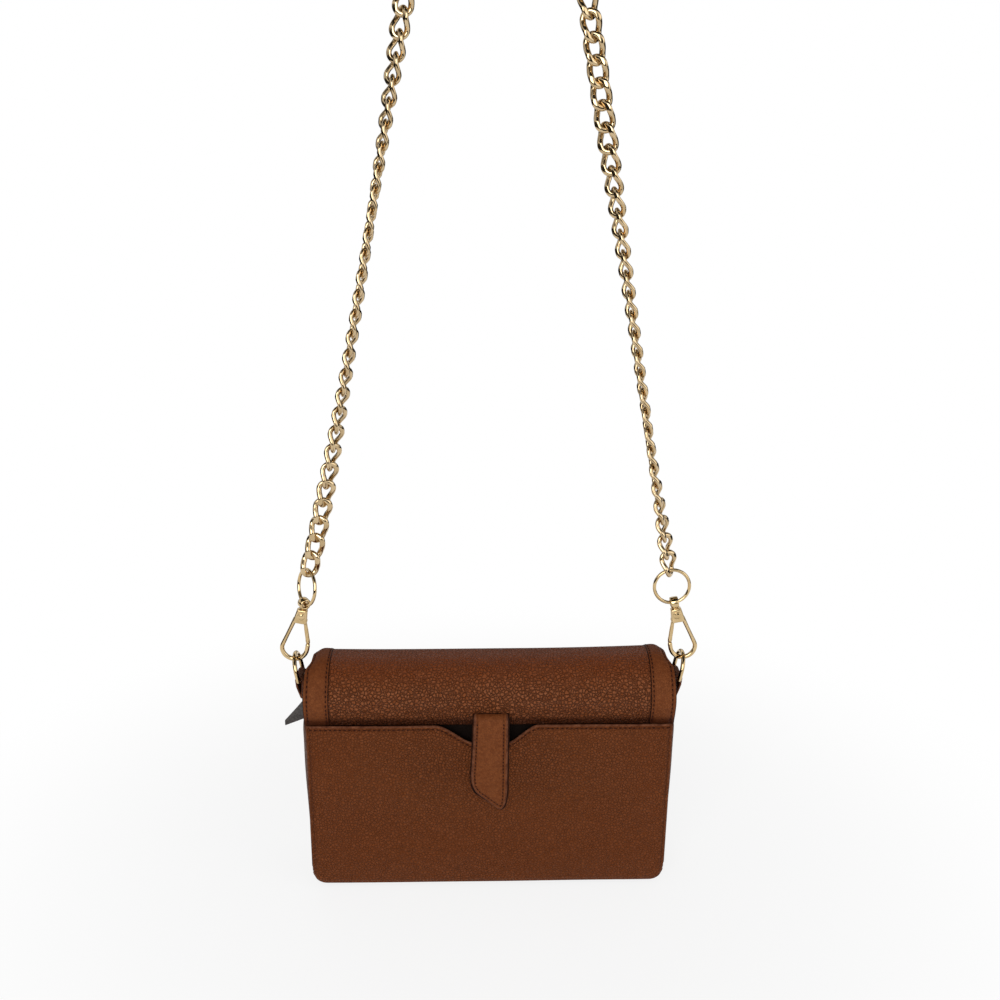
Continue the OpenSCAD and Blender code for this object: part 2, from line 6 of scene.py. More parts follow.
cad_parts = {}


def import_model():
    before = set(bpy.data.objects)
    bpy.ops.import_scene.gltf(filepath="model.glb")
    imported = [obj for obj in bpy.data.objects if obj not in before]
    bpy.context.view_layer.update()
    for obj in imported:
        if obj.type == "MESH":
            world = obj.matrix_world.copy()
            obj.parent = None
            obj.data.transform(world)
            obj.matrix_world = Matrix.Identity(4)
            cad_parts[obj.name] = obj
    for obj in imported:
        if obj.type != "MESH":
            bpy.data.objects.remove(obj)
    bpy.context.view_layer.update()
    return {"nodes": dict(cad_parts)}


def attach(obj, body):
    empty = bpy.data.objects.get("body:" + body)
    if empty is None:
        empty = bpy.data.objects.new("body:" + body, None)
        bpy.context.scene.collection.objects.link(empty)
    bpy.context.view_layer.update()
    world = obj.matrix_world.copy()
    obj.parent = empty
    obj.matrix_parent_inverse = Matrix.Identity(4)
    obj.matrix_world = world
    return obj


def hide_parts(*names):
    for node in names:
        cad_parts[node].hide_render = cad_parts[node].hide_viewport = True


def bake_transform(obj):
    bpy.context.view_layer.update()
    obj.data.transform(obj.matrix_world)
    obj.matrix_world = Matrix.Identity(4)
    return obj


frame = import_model()
print("frame loaded")

mm = 0.001
footZ = -594.2                          # height of the bag's foot in the row frame, in mm
bagEnds = ((-1, "Left"), (1, "Right"))  # sign of x and name of each end of the bag


def unit(v):                            # v at length 1
    return v / np.maximum(np.linalg.norm(v, axis=-1, keepdims=True), 1e-12)


def ease(x, a, b):                      # 0 before a, 1 after b, smooth between
    t = np.clip((np.asarray(x, float) - a) / (b - a), 0, 1)
    return t * t * (3 - 2 * t)


def hill(x, mid, width):                # bell of height 1
    return np.exp(-((np.asarray(x, float) - mid) / width) ** 2)


def ripple(a, b, seed, size, count=6):  # slow waves over two lengths in mm, about -1 to 1
    rng = np.random.default_rng(seed)
    total = 0
    for _ in range(count):
        k = rng.normal(size=2) / size
        total = total + rng.uniform(0.4, 1) * np.sin(a * k[0] + b * k[1] + rng.uniform(0, 6.28))
    return total / count ** 0.5


def dense(a, b, count, pull=0.75):      # values from a to b, closer together at both ends
    t = np.linspace(0, 1, count)
    return a + (b - a) * ((1 - pull) * t + pull * (0.5 - 0.5 * np.cos(math.pi * t)))


def signedPower(x, power):              # |x| to a power, with the sign of x
    return np.sign(x) * np.abs(x) ** power


def circle(count):                      # angles once round, without the first one again
    return 2 * np.pi * np.arange(count) / count


def runLength(path):                    # lengths along a path, from 0 at its first point
    return np.concatenate([[0], np.cumsum(np.linalg.norm(np.diff(path, axis=0), axis=1))])


def readAt(at, length, table):          # a table's columns, read at places between its rows' lengths
    return np.stack([np.interp(at, length, column) for column in np.asarray(table, float).T], -1)


def fromTable(x, table):                # a table of (x, value), read between its rows
    return np.interp(x, *np.array(table, float).T)


def gridFaces(m, n, roundU=False, roundV=False):    # the quads of an m by n grid of points
    i, j = np.meshgrid(np.arange(m if roundU else m - 1), np.arange(n if roundV else n - 1), indexing="ij")
    k, l = (i + 1) % m, (j + 1) % n
    return np.stack([i * n + j, k * n + j, k * n + l, i * n + l], -1).reshape(-1, 4)


def linked(name, data):                 # a new object in the scene
    obj = bpy.data.objects.new(name, data)
    bpy.context.scene.collection.objects.link(obj)
    return obj


# Makes an object of parts, each (points in mm, faces or a list of blocks of faces, material number or one
# number for each face). Heights count from the bag's foot where inBag says so. Values are for each point.
def makeObject(name, parts, body, mats, replaced=(), values=None, inBag=True):
    points, faces, looks, base = [], [], [], 0
    for pts, blocks, look in parts:
        for block in (blocks if isinstance(blocks, list) else [blocks]):
            faces += (np.asarray(block) + base).tolist()
            looks.append(np.broadcast_to(look, len(block)))
        points.append(np.asarray(pts, float))
        base += len(pts)
    points = np.concatenate(points)
    if inBag:
        points = points + np.array([0, 0, footZ])
    mesh = bpy.data.meshes.new(name)
    mesh.from_pydata((points * mm).tolist(), [], faces)
    mesh.polygons.foreach_set("use_smooth", np.ones(len(faces), bool))
    mesh.polygons.foreach_set("material_index", np.concatenate(looks).astype(np.int32))
    for key, array in {**dict(seam=0.0, grain=1.0), **(values or {})}.items():
        layer = mesh.attributes.new(key, "FLOAT", "POINT")
        flat = np.broadcast_to(np.asarray(array, np.float32).ravel(), len(points))
        layer.data.foreach_set("value", flat.copy())
    mesh.update()
    for mat in mats:
        mesh.materials.append(mat)
    obj = linked(name, mesh)
    if body:
        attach(obj, body)
    if replaced:
        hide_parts(*replaced)
    return obj


# Turns a grid over where its faces look away from the way given: the sum of the faces' directions
# times that way tells. Values on the same grid turn with it.
def facing(way, grid, *values):
    look = np.cross(np.gradient(grid, axis=0), np.gradient(grid, axis=1))
    turned = (look * np.asarray(way, float)).sum() < 0
    return tuple(v[::-1] for v in (grid,) + values) if turned else (grid,) + values


def signedVolume(part):                 # sum of a . (b x c) / 6 over the faces: negative where inside out
    points, total = part[0], 0.0
    for block in (part[1] if isinstance(part[1], list) else [part[1]]):
        for k in range(1, block.shape[1] - 1):
            a, b, c = points[block[:, 0]], points[block[:, k]], points[block[:, k + 1]]
            total += (a * np.cross(b, c)).sum() / 6
    return total


def rightWayOut(part):                  # the closed part, turned over where it is inside out
    if signedVolume(part) >= 0:
        return part
    blocks = part[1] if isinstance(part[1], list) else [part[1]]
    return part[0], [block[:, ::-1] for block in blocks], part[2]


# A sheet of leather: the outer grid, the same grid one thickness in, and a half-round rim that
# stands thick/2 beyond the grid's edge.
def shell(outer, thick, rimSteps=6, looks=(0, 1, 2)):
    m, n = outer.shape[:2]
    normal = unit(np.cross(np.gradient(outer, axis=0), np.gradient(outer, axis=1)))
    t = np.broadcast_to(np.asarray(thick, float), (m, n))[..., None]
    inner = outer - normal * t
    ri = np.concatenate([np.arange(m), np.full(n - 1, m - 1), np.arange(m - 2, -1, -1), np.zeros(n - 2, int)])
    rj = np.concatenate([np.zeros(m, int), np.arange(1, n), np.full(m - 1, n - 1), np.arange(n - 2, 0, -1)])
    edge, up, half = outer[ri, rj], normal[ri, rj], t[ri, rj] / 2
    run = unit(np.roll(edge, -1, 0) - np.roll(edge, 1, 0))
    out = unit(np.cross(run, up))
    phi = np.pi * np.arange(1, rimSteps) / rimSteps
    rim = edge - up * half + half * (np.cos(phi)[:, None, None] * up + np.sin(phi)[:, None, None] * out)
    points = np.concatenate([outer.reshape(-1, 3), inner.reshape(-1, 3), rim.reshape(-1, 3)])
    count = len(ri)
    between = [2 * m * n + k * count + np.arange(count) for k in range(rimSteps - 1)]
    rows = [ri * n + rj] + between + [m * n + ri * n + rj]
    face = gridFaces(m, n)
    rimFaces = [np.stack([a, b, np.roll(b, -1), np.roll(a, -1)], -1) for a, b in zip(rows[:-1], rows[1:])]
    faces = np.concatenate([face, face[:, ::-1] + m * n] + rimFaces)
    look = np.repeat(looks, [len(face), len(face), len(faces) - 2 * len(face)])
    return points, faces, look


def shellValue(outerValue, rimSteps=6):     # a value for each point of a shell: 0 on its back and its rim
    m, n = outerValue.shape
    rimCount = 2 * (m + n) - 4
    return np.concatenate([outerValue.ravel(), np.zeros(m * n + rimCount * (rimSteps - 1))])


def closedRings(rings, poles):          # rings joined side by side, with a fan round a pole at each end
    m, around = rings.shape[:2]
    k = np.arange(around)
    after, last, pole = (k + 1) % around, (m - 1) * around, np.full(around, m * around)
    faces = [gridFaces(m, around, roundV=True)[:, ::-1], np.stack([after, k, pole], -1),
             np.stack([pole + 1, last + k, last + after], -1)]
    return np.concatenate([rings.reshape(-1, 3), poles]), faces, 0


tubing = dict(capRings=4, capTip=0.05)  # rings on a rounded end, and how far its pole stands beyond them


# A profile carried along a path: point = path + wide cos a * across + high sin a * side, where across is
# square to the run and to side. Below 1, square makes the profile boxier. The ends of an open path are
# rounded by rings that shrink on a quarter ellipse.
def tube(path, wide, high, side, around=16, ends=True, square=1.0):
    path = np.asarray(path, float)
    count, capRings = len(path), tubing["capRings"]
    wide, high = (np.broadcast_to(np.asarray(r, float), (count,)) for r in (wide, high))
    side = np.broadcast_to(np.asarray(side, float), (count, 3))
    run = unit(np.gradient(path, axis=0)) if ends else unit(np.roll(path, -1, 0) - np.roll(path, 1, 0))
    if ends:
        q = np.linspace(0, np.pi / 2, capRings + 2)[1:-1]
        firstR, lastR = min(wide[0], high[0]), min(wide[-1], high[-1])
        head = path[0] - run[0] * firstR * np.sin(q)[::-1, None]
        tail = path[-1] + run[-1] * lastR * np.sin(q)[:, None]
        path = np.concatenate([head, path, tail])
        wide, high = (np.concatenate([r[0] * np.cos(q)[::-1], r, r[-1] * np.cos(q)]) for r in (wide, high))
        run, side = (np.concatenate([np.repeat(v[:1], capRings, 0), v, np.repeat(v[-1:], capRings, 0)])
                     for v in (run, side))
    up = unit(side - (side * run).sum(-1, keepdims=True) * run)
    across = np.cross(up, run)
    c, s = (signedPower(f(circle(around)), square) for f in (np.cos, np.sin))
    rings = (path[:, None] + across[:, None] * (wide[:, None] * c)[..., None]
             + up[:, None] * (high[:, None] * s)[..., None])
    if not ends:
        return rings.reshape(-1, 3), gridFaces(count, around, roundU=True, roundV=True)[:, ::-1], 0
    tip = tubing["capTip"]
    return closedRings(rings, [path[0] - run[0] * firstR * tip, path[-1] + run[-1] * lastR * tip])


# A turned shape: (radius, height) pairs carried round an axis, closed at both ends.
def turnedShape(profile, axisPoint, axis, ref, around=24):
    profile = np.asarray(profile, float)
    axis, ref = unit(np.asarray(axis, float)), np.asarray(ref, float)
    x = unit(ref - (ref * axis).sum() * axis)
    y = np.cross(axis, x)
    a = circle(around)
    ring = np.cos(a)[:, None] * x + np.sin(a)[:, None] * y
    rings = np.asarray(axisPoint, float) + profile[:, None, :1] * ring[None] + profile[:, None, 1:] * axis
    return closedRings(rings, [axisPoint + height * axis for height in (profile[0, 1], profile[-1, 1])])


def ringLine(middle, r, across, up, count=96):      # a circle round a middle, in the plane of two ways
    a = circle(count)
    return middle + r * (np.cos(a)[:, None] * across + np.sin(a)[:, None] * up)


stitch = dict(pitch=3.3, share=0.66, thick=0.6, wide=1.1, high=0.8, thin=0.35, proud=0.2, sink=0.5,
              rings=6, around=6, slant=6, near=0.4)


# Thread: each stitch is a short bar, a share of the pitch long and slanted to the path. Over t from -1
# to 1 its middle stands proud - sink |t|^2.6, so both ends bend down into the leather, and its radius
# follows 1 - thin t^4.
def stitches(path, normals, pitch=stitch["pitch"]):
    length = runLength(path)
    count = max(2, int(round(length[-1] / pitch)))
    at = (np.arange(count) + 0.5) * length[-1] / count
    spot = readAt(at, length, path)
    run = unit(readAt(at + stitch["near"], length, path) - readAt(at - stitch["near"], length, path))
    up = unit(readAt(at, length, normals))
    across = unit(np.cross(up, run))
    tilt = math.radians(stitch["slant"])
    run = run * math.cos(tilt) + across * math.sin(tilt)
    across = np.cross(up, run)
    rings, around = stitch["rings"], stitch["around"]
    t, a = np.linspace(-1, 1, rings), circle(around)
    lift = stitch["proud"] - stitch["sink"] * np.abs(t) ** 2.6
    slim = stitch["thick"] / 2 * (1 - stitch["thin"] * t ** 4)
    reached = t * pitch * stitch["share"] / 2
    mid = spot[:, None] + run[:, None] * reached[:, None] + up[:, None] * lift[:, None]
    ring = (across[:, None, None] * (np.cos(a) * stitch["wide"])[:, None]
            + up[:, None, None] * (np.sin(a) * stitch["high"])[:, None]) * slim[:, None, None]
    pts = (mid[:, :, None] + ring).reshape(-1, 3)
    starts = (np.arange(count) * rings * around)[:, None]
    faces = (gridFaces(rings, around, roundV=True)[:, ::-1][None] + starts[:, None]).reshape(-1, 4)
    k = np.arange(around)
    return pts, [faces, k + starts, (rings * around - 1 - k) + starts], 0


def paint(r, g, b):                     # a colour as seen on screen, 0 to 255, to linear
    seen = (r / 255, g / 255, b / 255)
    return tuple(c / 12.92 if c <= 0.04045 else ((c + 0.055) / 1.055) ** 2.4 for c in seen) + (1,)


def lit(colour, gain):                  # a lighter colour, 255 at most
    return paint(*[min(255, c * gain) for c in colour])


class Tree:                             # short names for node making
    def __init__(self, tree):
        self.tree = tree

    def join(self, value, socket):      # links a socket's value, or sets a plain one
        if isinstance(value, bpy.types.NodeSocket):
            self.tree.links.new(value, socket)
        else:
            socket.default_value = value

    def add(self, kind, settings=None, **inputs):   # inputs by name, _ for a space, or _0, _1, _2 by number
        node = self.tree.nodes.new(kind)
        for key, value in (settings or {}).items():
            setattr(node, key, value)
        for key, value in inputs.items():
            numbered = key[0] == "_" and key[1:].isdigit()
            self.join(value, node.inputs[int(key[1:]) if numbered else key.replace("_", " ")])
        return node

    def math(self, how, a, b=0.0, c=0.0):
        return self.add("ShaderNodeMath", dict(operation=how), _0=a, _1=b, _2=c).outputs[0]

    def times(self, a, b):
        return self.math("MULTIPLY", a, b)

    def timesPlus(self, a, b, c):       # a b + c
        return self.math("MULTIPLY_ADD", a, b, c)

    def mix(self, share, a, b):
        return self.add("ShaderNodeMix", dict(data_type="RGBA"), _0=share, _6=a, _7=b).outputs[2]

    def spread(self, value, a, b, c=0.0, d=1.0):    # c where the value is a, d where it is b, smooth between
        return self.add("ShaderNodeMapRange", dict(interpolation_type="SMOOTHSTEP"),
                        Value=value, From_Min=a, From_Max=b, To_Min=c, To_Max=d).outputs[0]

    def value(self, name):
        return self.add("ShaderNodeAttribute", dict(attribute_name=name)).outputs["Fac"]

    def place(self):
        return self.add("ShaderNodeTexCoord").outputs["Object"]

    def noise(self, where, scale, detail, **more):
        return self.add("ShaderNodeTexNoise", Vector=where, Scale=scale, Detail=detail, **more).outputs["Fac"]

    def cells(self, where, scale, feature):
        return self.add("ShaderNodeTexVoronoi", dict(feature=feature), Vector=where, Scale=scale)

    def shared(self, tree, **inputs):   # the outputs of a shared group
        return self.add("ShaderNodeGroup", dict(node_tree=tree), **inputs).outputs

    def feed(self, sockets, **values):  # joins values to the sockets of these names, with _ for a space
        for key, value in values.items():
            self.join(value, sockets[key.replace("_", " ")])


def emptied(owner):                     # the owner's node maker, with no nodes
    owner.use_nodes = True
    owner.node_tree.nodes.clear()
    return Tree(owner.node_tree)


def group(name, inputs, outputs):       # a shared group of numbers, its node maker and its two ends
    tree = bpy.data.node_groups.new(name, "ShaderNodeTree")
    for label, start in inputs.items():
        tree.interface.new_socket(label, in_out="INPUT", socket_type="NodeSocketFloat").default_value = start
    for label in outputs:
        tree.interface.new_socket(label, in_out="OUTPUT", socket_type="NodeSocketFloat")
    t = Tree(tree)
    return tree, t, t.add("NodeGroupInput").outputs, t.add("NodeGroupOutput").inputs


# Scales are in waves to the metre, and bend is in metres.
pebbles = dict(bendScale=420.0, bend=0.0011, finer=2.3, poreScale=5200.0, slowScale=34.0, dome=0.21,
               smallDome=0.3, creaseWide=0.09, big=0.86, small=0.14, pores=0.04, cellTone=0.4, slowTone=0.6)


# Leather grain: rounded cells with creases between them, finer cells on top, and pores. Depth fades
# all of it where the leather is stretched.
def pebbleGroup():
    tree, t, get, put = group("pebbleGrain", dict(Cell=0.0013, Depth=1.0), ("Height", "Crease", "Tone"))
    where, p = t.place(), pebbles
    bend = t.add("ShaderNodeTexNoise", Vector=where, Scale=p["bendScale"], Detail=2.0).outputs["Color"]
    bend = t.add("ShaderNodeVectorMath", dict(operation="MULTIPLY_ADD"),
                 _0=bend, _1=(p["bend"],) * 3, _2=where).outputs[0]
    scale = t.math("DIVIDE", 1.0, get["Cell"])
    edge = t.cells(bend, scale, "DISTANCE_TO_EDGE").outputs["Distance"]
    fine = t.cells(bend, t.times(scale, p["finer"]), "DISTANCE_TO_EDGE").outputs["Distance"]
    cell = t.add("ShaderNodeSeparateColor", Color=t.cells(bend, scale, "F1").outputs["Color"]).outputs[0]
    pores = t.noise(where, p["poreScale"], 3.0)
    slow = t.noise(where, p["slowScale"], 3.0, Roughness=0.55)
    patchy = t.times(t.spread(slow, 0.3, 0.7, 0.85, 1.0), get["Depth"])
    domes = t.timesPlus(t.spread(fine, 0.0, p["smallDome"]), p["small"],
                        t.times(t.spread(edge, 0.0, p["dome"]), p["big"]))
    crease = t.math("SUBTRACT", 1.0, t.spread(edge, 0.0, p["creaseWide"]))
    crease = t.times(crease, t.math("MINIMUM", patchy, 1.0))
    t.feed(put, Height=t.timesPlus(pores, p["pores"], t.times(domes, patchy)), Crease=crease,
           Tone=t.timesPlus(cell, p["cellTone"], t.times(slow, p["slowTone"])))
    return tree


def clothGroup():                       # plain weave: two sets of threads that pass over and under
    tree, t, get, put = group("threadWeave", dict(Pitch=0.0005), ("Height", "Tone"))
    where = t.place()
    x, y, z = t.add("ShaderNodeSeparateXYZ", Vector=where).outputs
    turn = t.math("DIVIDE", 6.2832, get["Pitch"])
    a = t.math("SINE", t.times(t.math("ADD", x, y), turn))
    b = t.math("SINE", t.times(t.math("SUBTRACT", z, t.times(y, 0.4)), turn))
    over = t.timesPlus(t.times(a, b), 0.5, 0.5)
    fuzz = t.noise(where, 1500.0, 2.0)
    t.feed(put, Height=t.timesPlus(fuzz, 0.35, over), Tone=t.timesPlus(over, 0.4, t.times(fuzz, 0.6)))
    return tree


def wearGroup():                        # slow stains and fine rubbing, for every finish
    tree, t, get, put = group("softWear", dict(Size=0.02), ("Stain", "Rub"))
    where = t.place()
    scale = t.math("DIVIDE", 1.0, get["Size"])
    slow = t.noise(where, scale, 4.0, Roughness=0.6)
    fine = t.noise(where, t.times(scale, 17.0), 3.0)
    t.feed(put, Stain=t.spread(slow, 0.32, 0.7), Rub=t.spread(t.times(slow, fine), 0.22, 0.36))
    return tree


pebble, weave, wear = pebbleGroup(), clothGroup(), wearGroup()


def material(name, specular=None):      # a material, its node maker and its shader
    mat = bpy.data.materials.new(name)
    t = emptied(mat)
    shader = t.add("ShaderNodeBsdfPrincipled")
    t.feed(t.add("ShaderNodeOutputMaterial").inputs, Surface=shader.outputs[0])
    if specular is not None:
        shader.inputs["Specular IOR Level"].default_value = specular
    return mat, t, shader.inputs


def bumps(t, height, distance, strength=1.0):
    return t.add("ShaderNodeBump", Strength=strength, Distance=distance, Height=height).outputs[0]


leather = dict(cell=0.0013, depth=1.0, relief=0.00022, rough=(0.42, 0.62), gloss=0.12, crease=0.75,
               wearSize=0.03, stain=0.06, rub=0.08, seam=0.9, lowGrainShadeShares=(0.86, 0.68, 0.25),
               seamShares=(0.75, 0.5, 0.4), tint=(1.0, 0.76, 0.6, 1.0))


# Leather: tone changes from cell to cell, dark creases, a darker stain, and a seam that darkens by the
# piece's own seam value (which on the flap also holds painted shade at its foot). Creases darken to the
# leather's own darker crease colour with painted shade in them. The piece's grain value fades the grain
# and its creases, and warms and darkens the colour where it is low: painted shade on the flap's upturned
# roll.
def leatherFinish(name, light, mid, dark, **changed):
    look = {**leather, **changed}
    mat, t, shader = material(name, look["gloss"])
    grain = t.shared(pebble, Cell=look["cell"], Depth=t.times(t.value("grain"), look["depth"]))
    worn = t.shared(wear, Size=look["wearSize"])
    lowGrainShade = paint(*[c * k for c, k in zip(mid, look["lowGrainShadeShares"])])
    seam = paint(*[c * k for c, k in zip(dark, look["seamShares"])])
    base = t.mix(t.spread(grain["Tone"], 0.28, 0.66), paint(*mid), paint(*light))
    # painted shade: darker, warmer colour where the grain value is low, mostly on the flap's upturned roll
    base = t.mix(t.spread(t.value("grain"), 0.4, 1.0, 0.7, 0.0), base, lowGrainShade)
    base = t.mix(t.times(worn["Stain"], look["stain"]), base, paint(*dark))
    # dark creases: the leather's own darker crease colour, with painted shade in the creases
    base = t.mix(t.times(grain["Crease"], look["crease"]), base, paint(*dark))
    # the seam value darkens seams, and on the flap and bands it also carries painted shade at their foot
    base = t.mix(t.times(t.value("seam"), look["seam"]), base, seam)
    fine, coarse = look["rough"]
    roughness = t.timesPlus(worn["Rub"], look["rub"], t.spread(grain["Height"], 0.1, 0.95, coarse, fine))
    t.feed(shader, Base_Color=base, Roughness=roughness, Normal=bumps(t, grain["Height"], look["relief"]))
    shader["Specular Tint"].default_value = look["tint"]
    return mat


def edgeFinish(name, light, dark, rough=0.42):      # painted edge: stains, rubbed lighter here and there
    mat, t, shader = material(name, 0.05)
    worn = t.shared(wear, Size=0.004)
    skin = t.noise(t.place(), 900.0, 3.0)
    base = t.mix(worn["Stain"], paint(*dark), paint(*light))
    t.feed(shader, Base_Color=t.mix(t.times(worn["Rub"], 0.35), base, lit(light, 1.2)),
           Roughness=t.spread(skin, 0.3, 0.7, rough - 0.08, rough + 0.12),
           Normal=bumps(t, skin, 0.00008, 0.7))
    return mat


def clothFinish(name, light, dark, pitch=0.0005, rough=0.85, relief=0.00012):   # woven cloth, a little rubbed
    mat, t, shader = material(name, 0.06)
    cloth, worn = t.shared(weave, Pitch=pitch), t.shared(wear, Size=0.02)
    base = t.mix(cloth["Tone"], paint(*dark), paint(*light))
    t.feed(shader, Base_Color=t.mix(t.times(worn["Rub"], 0.3), base, lit(light, 1.25)),
           Roughness=t.spread(cloth["Tone"], 0.2, 0.8, rough, rough - 0.15),
           Normal=bumps(t, cloth["Height"], relief))
    return mat


def threadFinish(name, light, dark):    # slanting plies with fuzz
    mat, t, shader = material(name, 0.1)
    where = t.place()
    ply = t.add("ShaderNodeTexWave", dict(bands_direction="DIAGONAL"),
                Vector=where, Scale=620.0, Distortion=2.0, Detail=1.0).outputs["Fac"]
    fuzz = t.noise(where, 2600.0, 2.0)
    t.feed(shader, Base_Color=t.mix(t.timesPlus(ply, 0.6, t.times(fuzz, 0.4)), paint(*dark), paint(*light)),
           Roughness=t.spread(fuzz, 0.3, 0.7, 0.5, 0.7), Normal=bumps(t, ply, 0.00008))
    return mat


def goldFinish(name, bright, deep, rough):          # plated metal: slow waves, hair scratches, dull patches
    mat, t, shader = material(name)
    worn, where = t.shared(wear, Size=0.006), t.place()
    scratch = t.noise(where, 2400.0, 4.0, Roughness=0.7)
    wavy = t.noise(where, 300.0, 2.0)
    t.feed(shader, Base_Color=t.mix(t.times(worn["Stain"], 0.5), paint(*bright), paint(*deep)),
           Roughness=t.spread(t.timesPlus(scratch, 0.5, t.times(wavy, 0.5)), 0.3, 0.7, *rough),
           Normal=bumps(t, t.timesPlus(wavy, 0.6, t.times(scratch, 0.1)), 0.000004, 0.5))
    shader["Metallic"].default_value = 1.0
    return mat


finish = dict(
    pocket=leatherFinish("pebbledLeather", (109, 57, 25), (102, 51, 18), (56, 24, 9), cell=0.0017,
                         relief=0.0008, rough=(0.36, 0.6), gloss=0.16, crease=0.55),
    flap=leatherFinish("coarsePebbledLeather", (130, 75, 44), (119, 64, 32), (54, 20, 8), cell=0.0019,
                       depth=1.15, relief=0.0012, rough=(0.27, 0.48), gloss=0.18, crease=0.8),
    band=leatherFinish("smoothLeather", (112, 61, 30), (99, 51, 23), (58, 25, 11), cell=0.0014, depth=0.5,
                       relief=0.0003, rough=(0.42, 0.58), gloss=0.14),
    # painted shade: the body leather made darker for the gussets, bottom and ring loops, which turn away from
    # the light
    side=leatherFinish("shadedSideLeather", (88, 46, 22), (76, 38, 17), (42, 18, 8), cell=0.0014, depth=0.8,
                       relief=0.00026),
    suede=leatherFinish("leatherBack", (86, 47, 25), (76, 40, 20), (50, 24, 12), cell=0.0007, depth=0.35,
                        relief=0.00008, rough=(0.72, 0.9), gloss=0.08),
    edge=edgeFinish("paintedEdge", (104, 64, 44), (76, 42, 27), 0.6),
    # dark painted edges of the flap and bands; used near-black on the tab's backing as painted shade
    darkEdgeAndShade=edgeFinish("darkEdgeAndShade", (44, 20, 10), (28, 12, 6)),
    # very dark lining cloth, darkened further as painted shade for the pocket's mouth where it shows in the
    # dip
    lining=clothFinish("blackLiningAndShade", (22, 14, 10), (10, 6, 4)),
    tape=clothFinish("greyTape", (92, 88, 86), (46, 43, 42), 0.00075, 0.8, 0.0002),
    thread=threadFinish("brownThread", (58, 21, 9), (28, 9, 4)),
    darkThread=threadFinish("darkThread", (52, 28, 20), (30, 14, 9)),
    gold=goldFinish("paleGold", (212, 186, 142), (172, 142, 92), (0.06, 0.16)),
    chain=goldFinish("chainGold", (206, 182, 144), (160, 134, 92), (0.06, 0.16)),
    steel=goldFinish("springSteel", (190, 190, 188), (150, 150, 150), (0.25, 0.45)),
    card=clothFinish("greyBoard", (140, 118, 88), (110, 90, 64), 0.0009, 0.9),
)
print("finishes made")


bag = dict(width=213.0, depth=50.0, leather=2.0, cornerR=9.0, sheetIn=1.0)
pocket = dict(rimZ=107.0, dipDepth=11.4, dipLeft=-32.5, dipRight=28.5, dipFloor=8.5, dipMid=0.4, rimSag=0.25,
              bulge=0.825, belly=0.9, bellyShare=0.16, wave=0.14, planeIn=0.3, rimSeam=1.25, sideSeam=1.3,
              seamDeep=0.32, rimRoll=0.3, sideRoll=0.6, footRoll=0.5, middle=34, stitchPitch=2.8)


def frontOut(x, z):                     # the pocket panel's swell from its plane: a low dome, fuller below
    u, w = np.clip(np.abs(x) / (bag["width"] / 2), 0, 1), np.clip(z / pocket["rimZ"], 0, 1)
    dome = (1 - u ** 4) * np.clip(w * (1 - w) * 4, 0, 1) ** 0.8
    low = (1 - u ** 6) * hill(w, pocket["bellyShare"], 0.13)
    return pocket["bulge"] * dome + pocket["belly"] * low + pocket["wave"] * ripple(x, z, 4, 22)


def frontY(x, z):                       # y of the pocket panel's face
    return -bag["depth"] / 2 - frontOut(x, z) + pocket["planeIn"]


def footLine(x, half, r):               # height of the lower edge, with round corners
    d = np.clip(np.abs(x) - (half - r), 0, r)
    return r - np.sqrt(np.maximum(r * r - d * d, 0))


def rimLine(x):                         # the pocket's rim: level, with the dip between soft shoulders
    left = ease(x, pocket["dipLeft"], pocket["dipMid"] - pocket["dipFloor"])
    right = 1 - ease(x, pocket["dipMid"] + pocket["dipFloor"], pocket["dipRight"])
    return pocket["rimZ"] - pocket["dipDepth"] * np.minimum(left, right) - pocket["rimSag"] * hill(x, -60, 30)


def panelGrid(x, high, steps):          # x and z of a panel with round lower corners, up to the heights given
    half, inset, v = bag["width"] / 2 - bag["sheetIn"], bag["sheetIn"], dense(0, 1, steps, 0.7)
    low = footLine(x, half, bag["cornerR"] - inset) + inset
    z = low[:, None] + (high - low)[:, None] * v
    return np.repeat(x[:, None], steps, 1), z, low[:, None]


# The front: a grid over the width and up to the rim, on the swelling face. Its edges roll in, and the
# seams at its sides and under its rim are sunk.
def pocketPanel():
    p, half = pocket, bag["width"] / 2 - bag["sheetIn"]
    x = np.concatenate([dense(-half, -p["middle"], 80, 0.85)[:-1],
                        np.linspace(-p["middle"], p["middle"], 86)[:-1], dense(p["middle"], half, 80, 0.85)])
    high = rimLine(x) - bag["sheetIn"]
    xs, z, low = panelGrid(x, high, 112)
    toSide, toRim = half - np.abs(xs), high[:, None] - z
    seamLine = np.maximum(hill(toRim, p["rimSeam"], 0.62), hill(toSide, p["sideSeam"], 0.6) * ease(z, 4, 12))
    roll = (p["rimRoll"] * hill(toRim, 0, 0.6) + p["sideRoll"] * hill(toSide, 0, 1.2)
            + p["footRoll"] * hill(z - low, 0, 1.4))
    outer = np.stack([xs, frontY(xs, z) + p["seamDeep"] * seamLine + roll, z], -1)
    grain = 0.8 + 0.6 * hill(xs, 0, 55) * hill(z, 84, 26)
    makeObject("pocketPanel", [shell(outer, bag["leather"])], "bag",
               [finish["pocket"], finish["lining"], finish["edge"]], ("pocket_panel",),
               dict(seam=shellValue(seamLine * 0.45), grain=shellValue(grain)))
    line = high - p["rimSeam"]
    rim = np.stack([x, frontY(x, line) + 0.34, line], -1)[3:-3]
    thread = stitches(rim, np.tile([0, -1.0, 0], (len(rim), 1)), p["stitchPitch"])
    makeObject("pocketStitches", [thread], "bag", [finish["thread"]], ())


back = dict(topZ=106.8, swell=0.9, wave=0.12, planeIn=0.3, seamIn=2.4, seamDeep=0.3, sideRoll=0.35,
            threadIn=0.5)


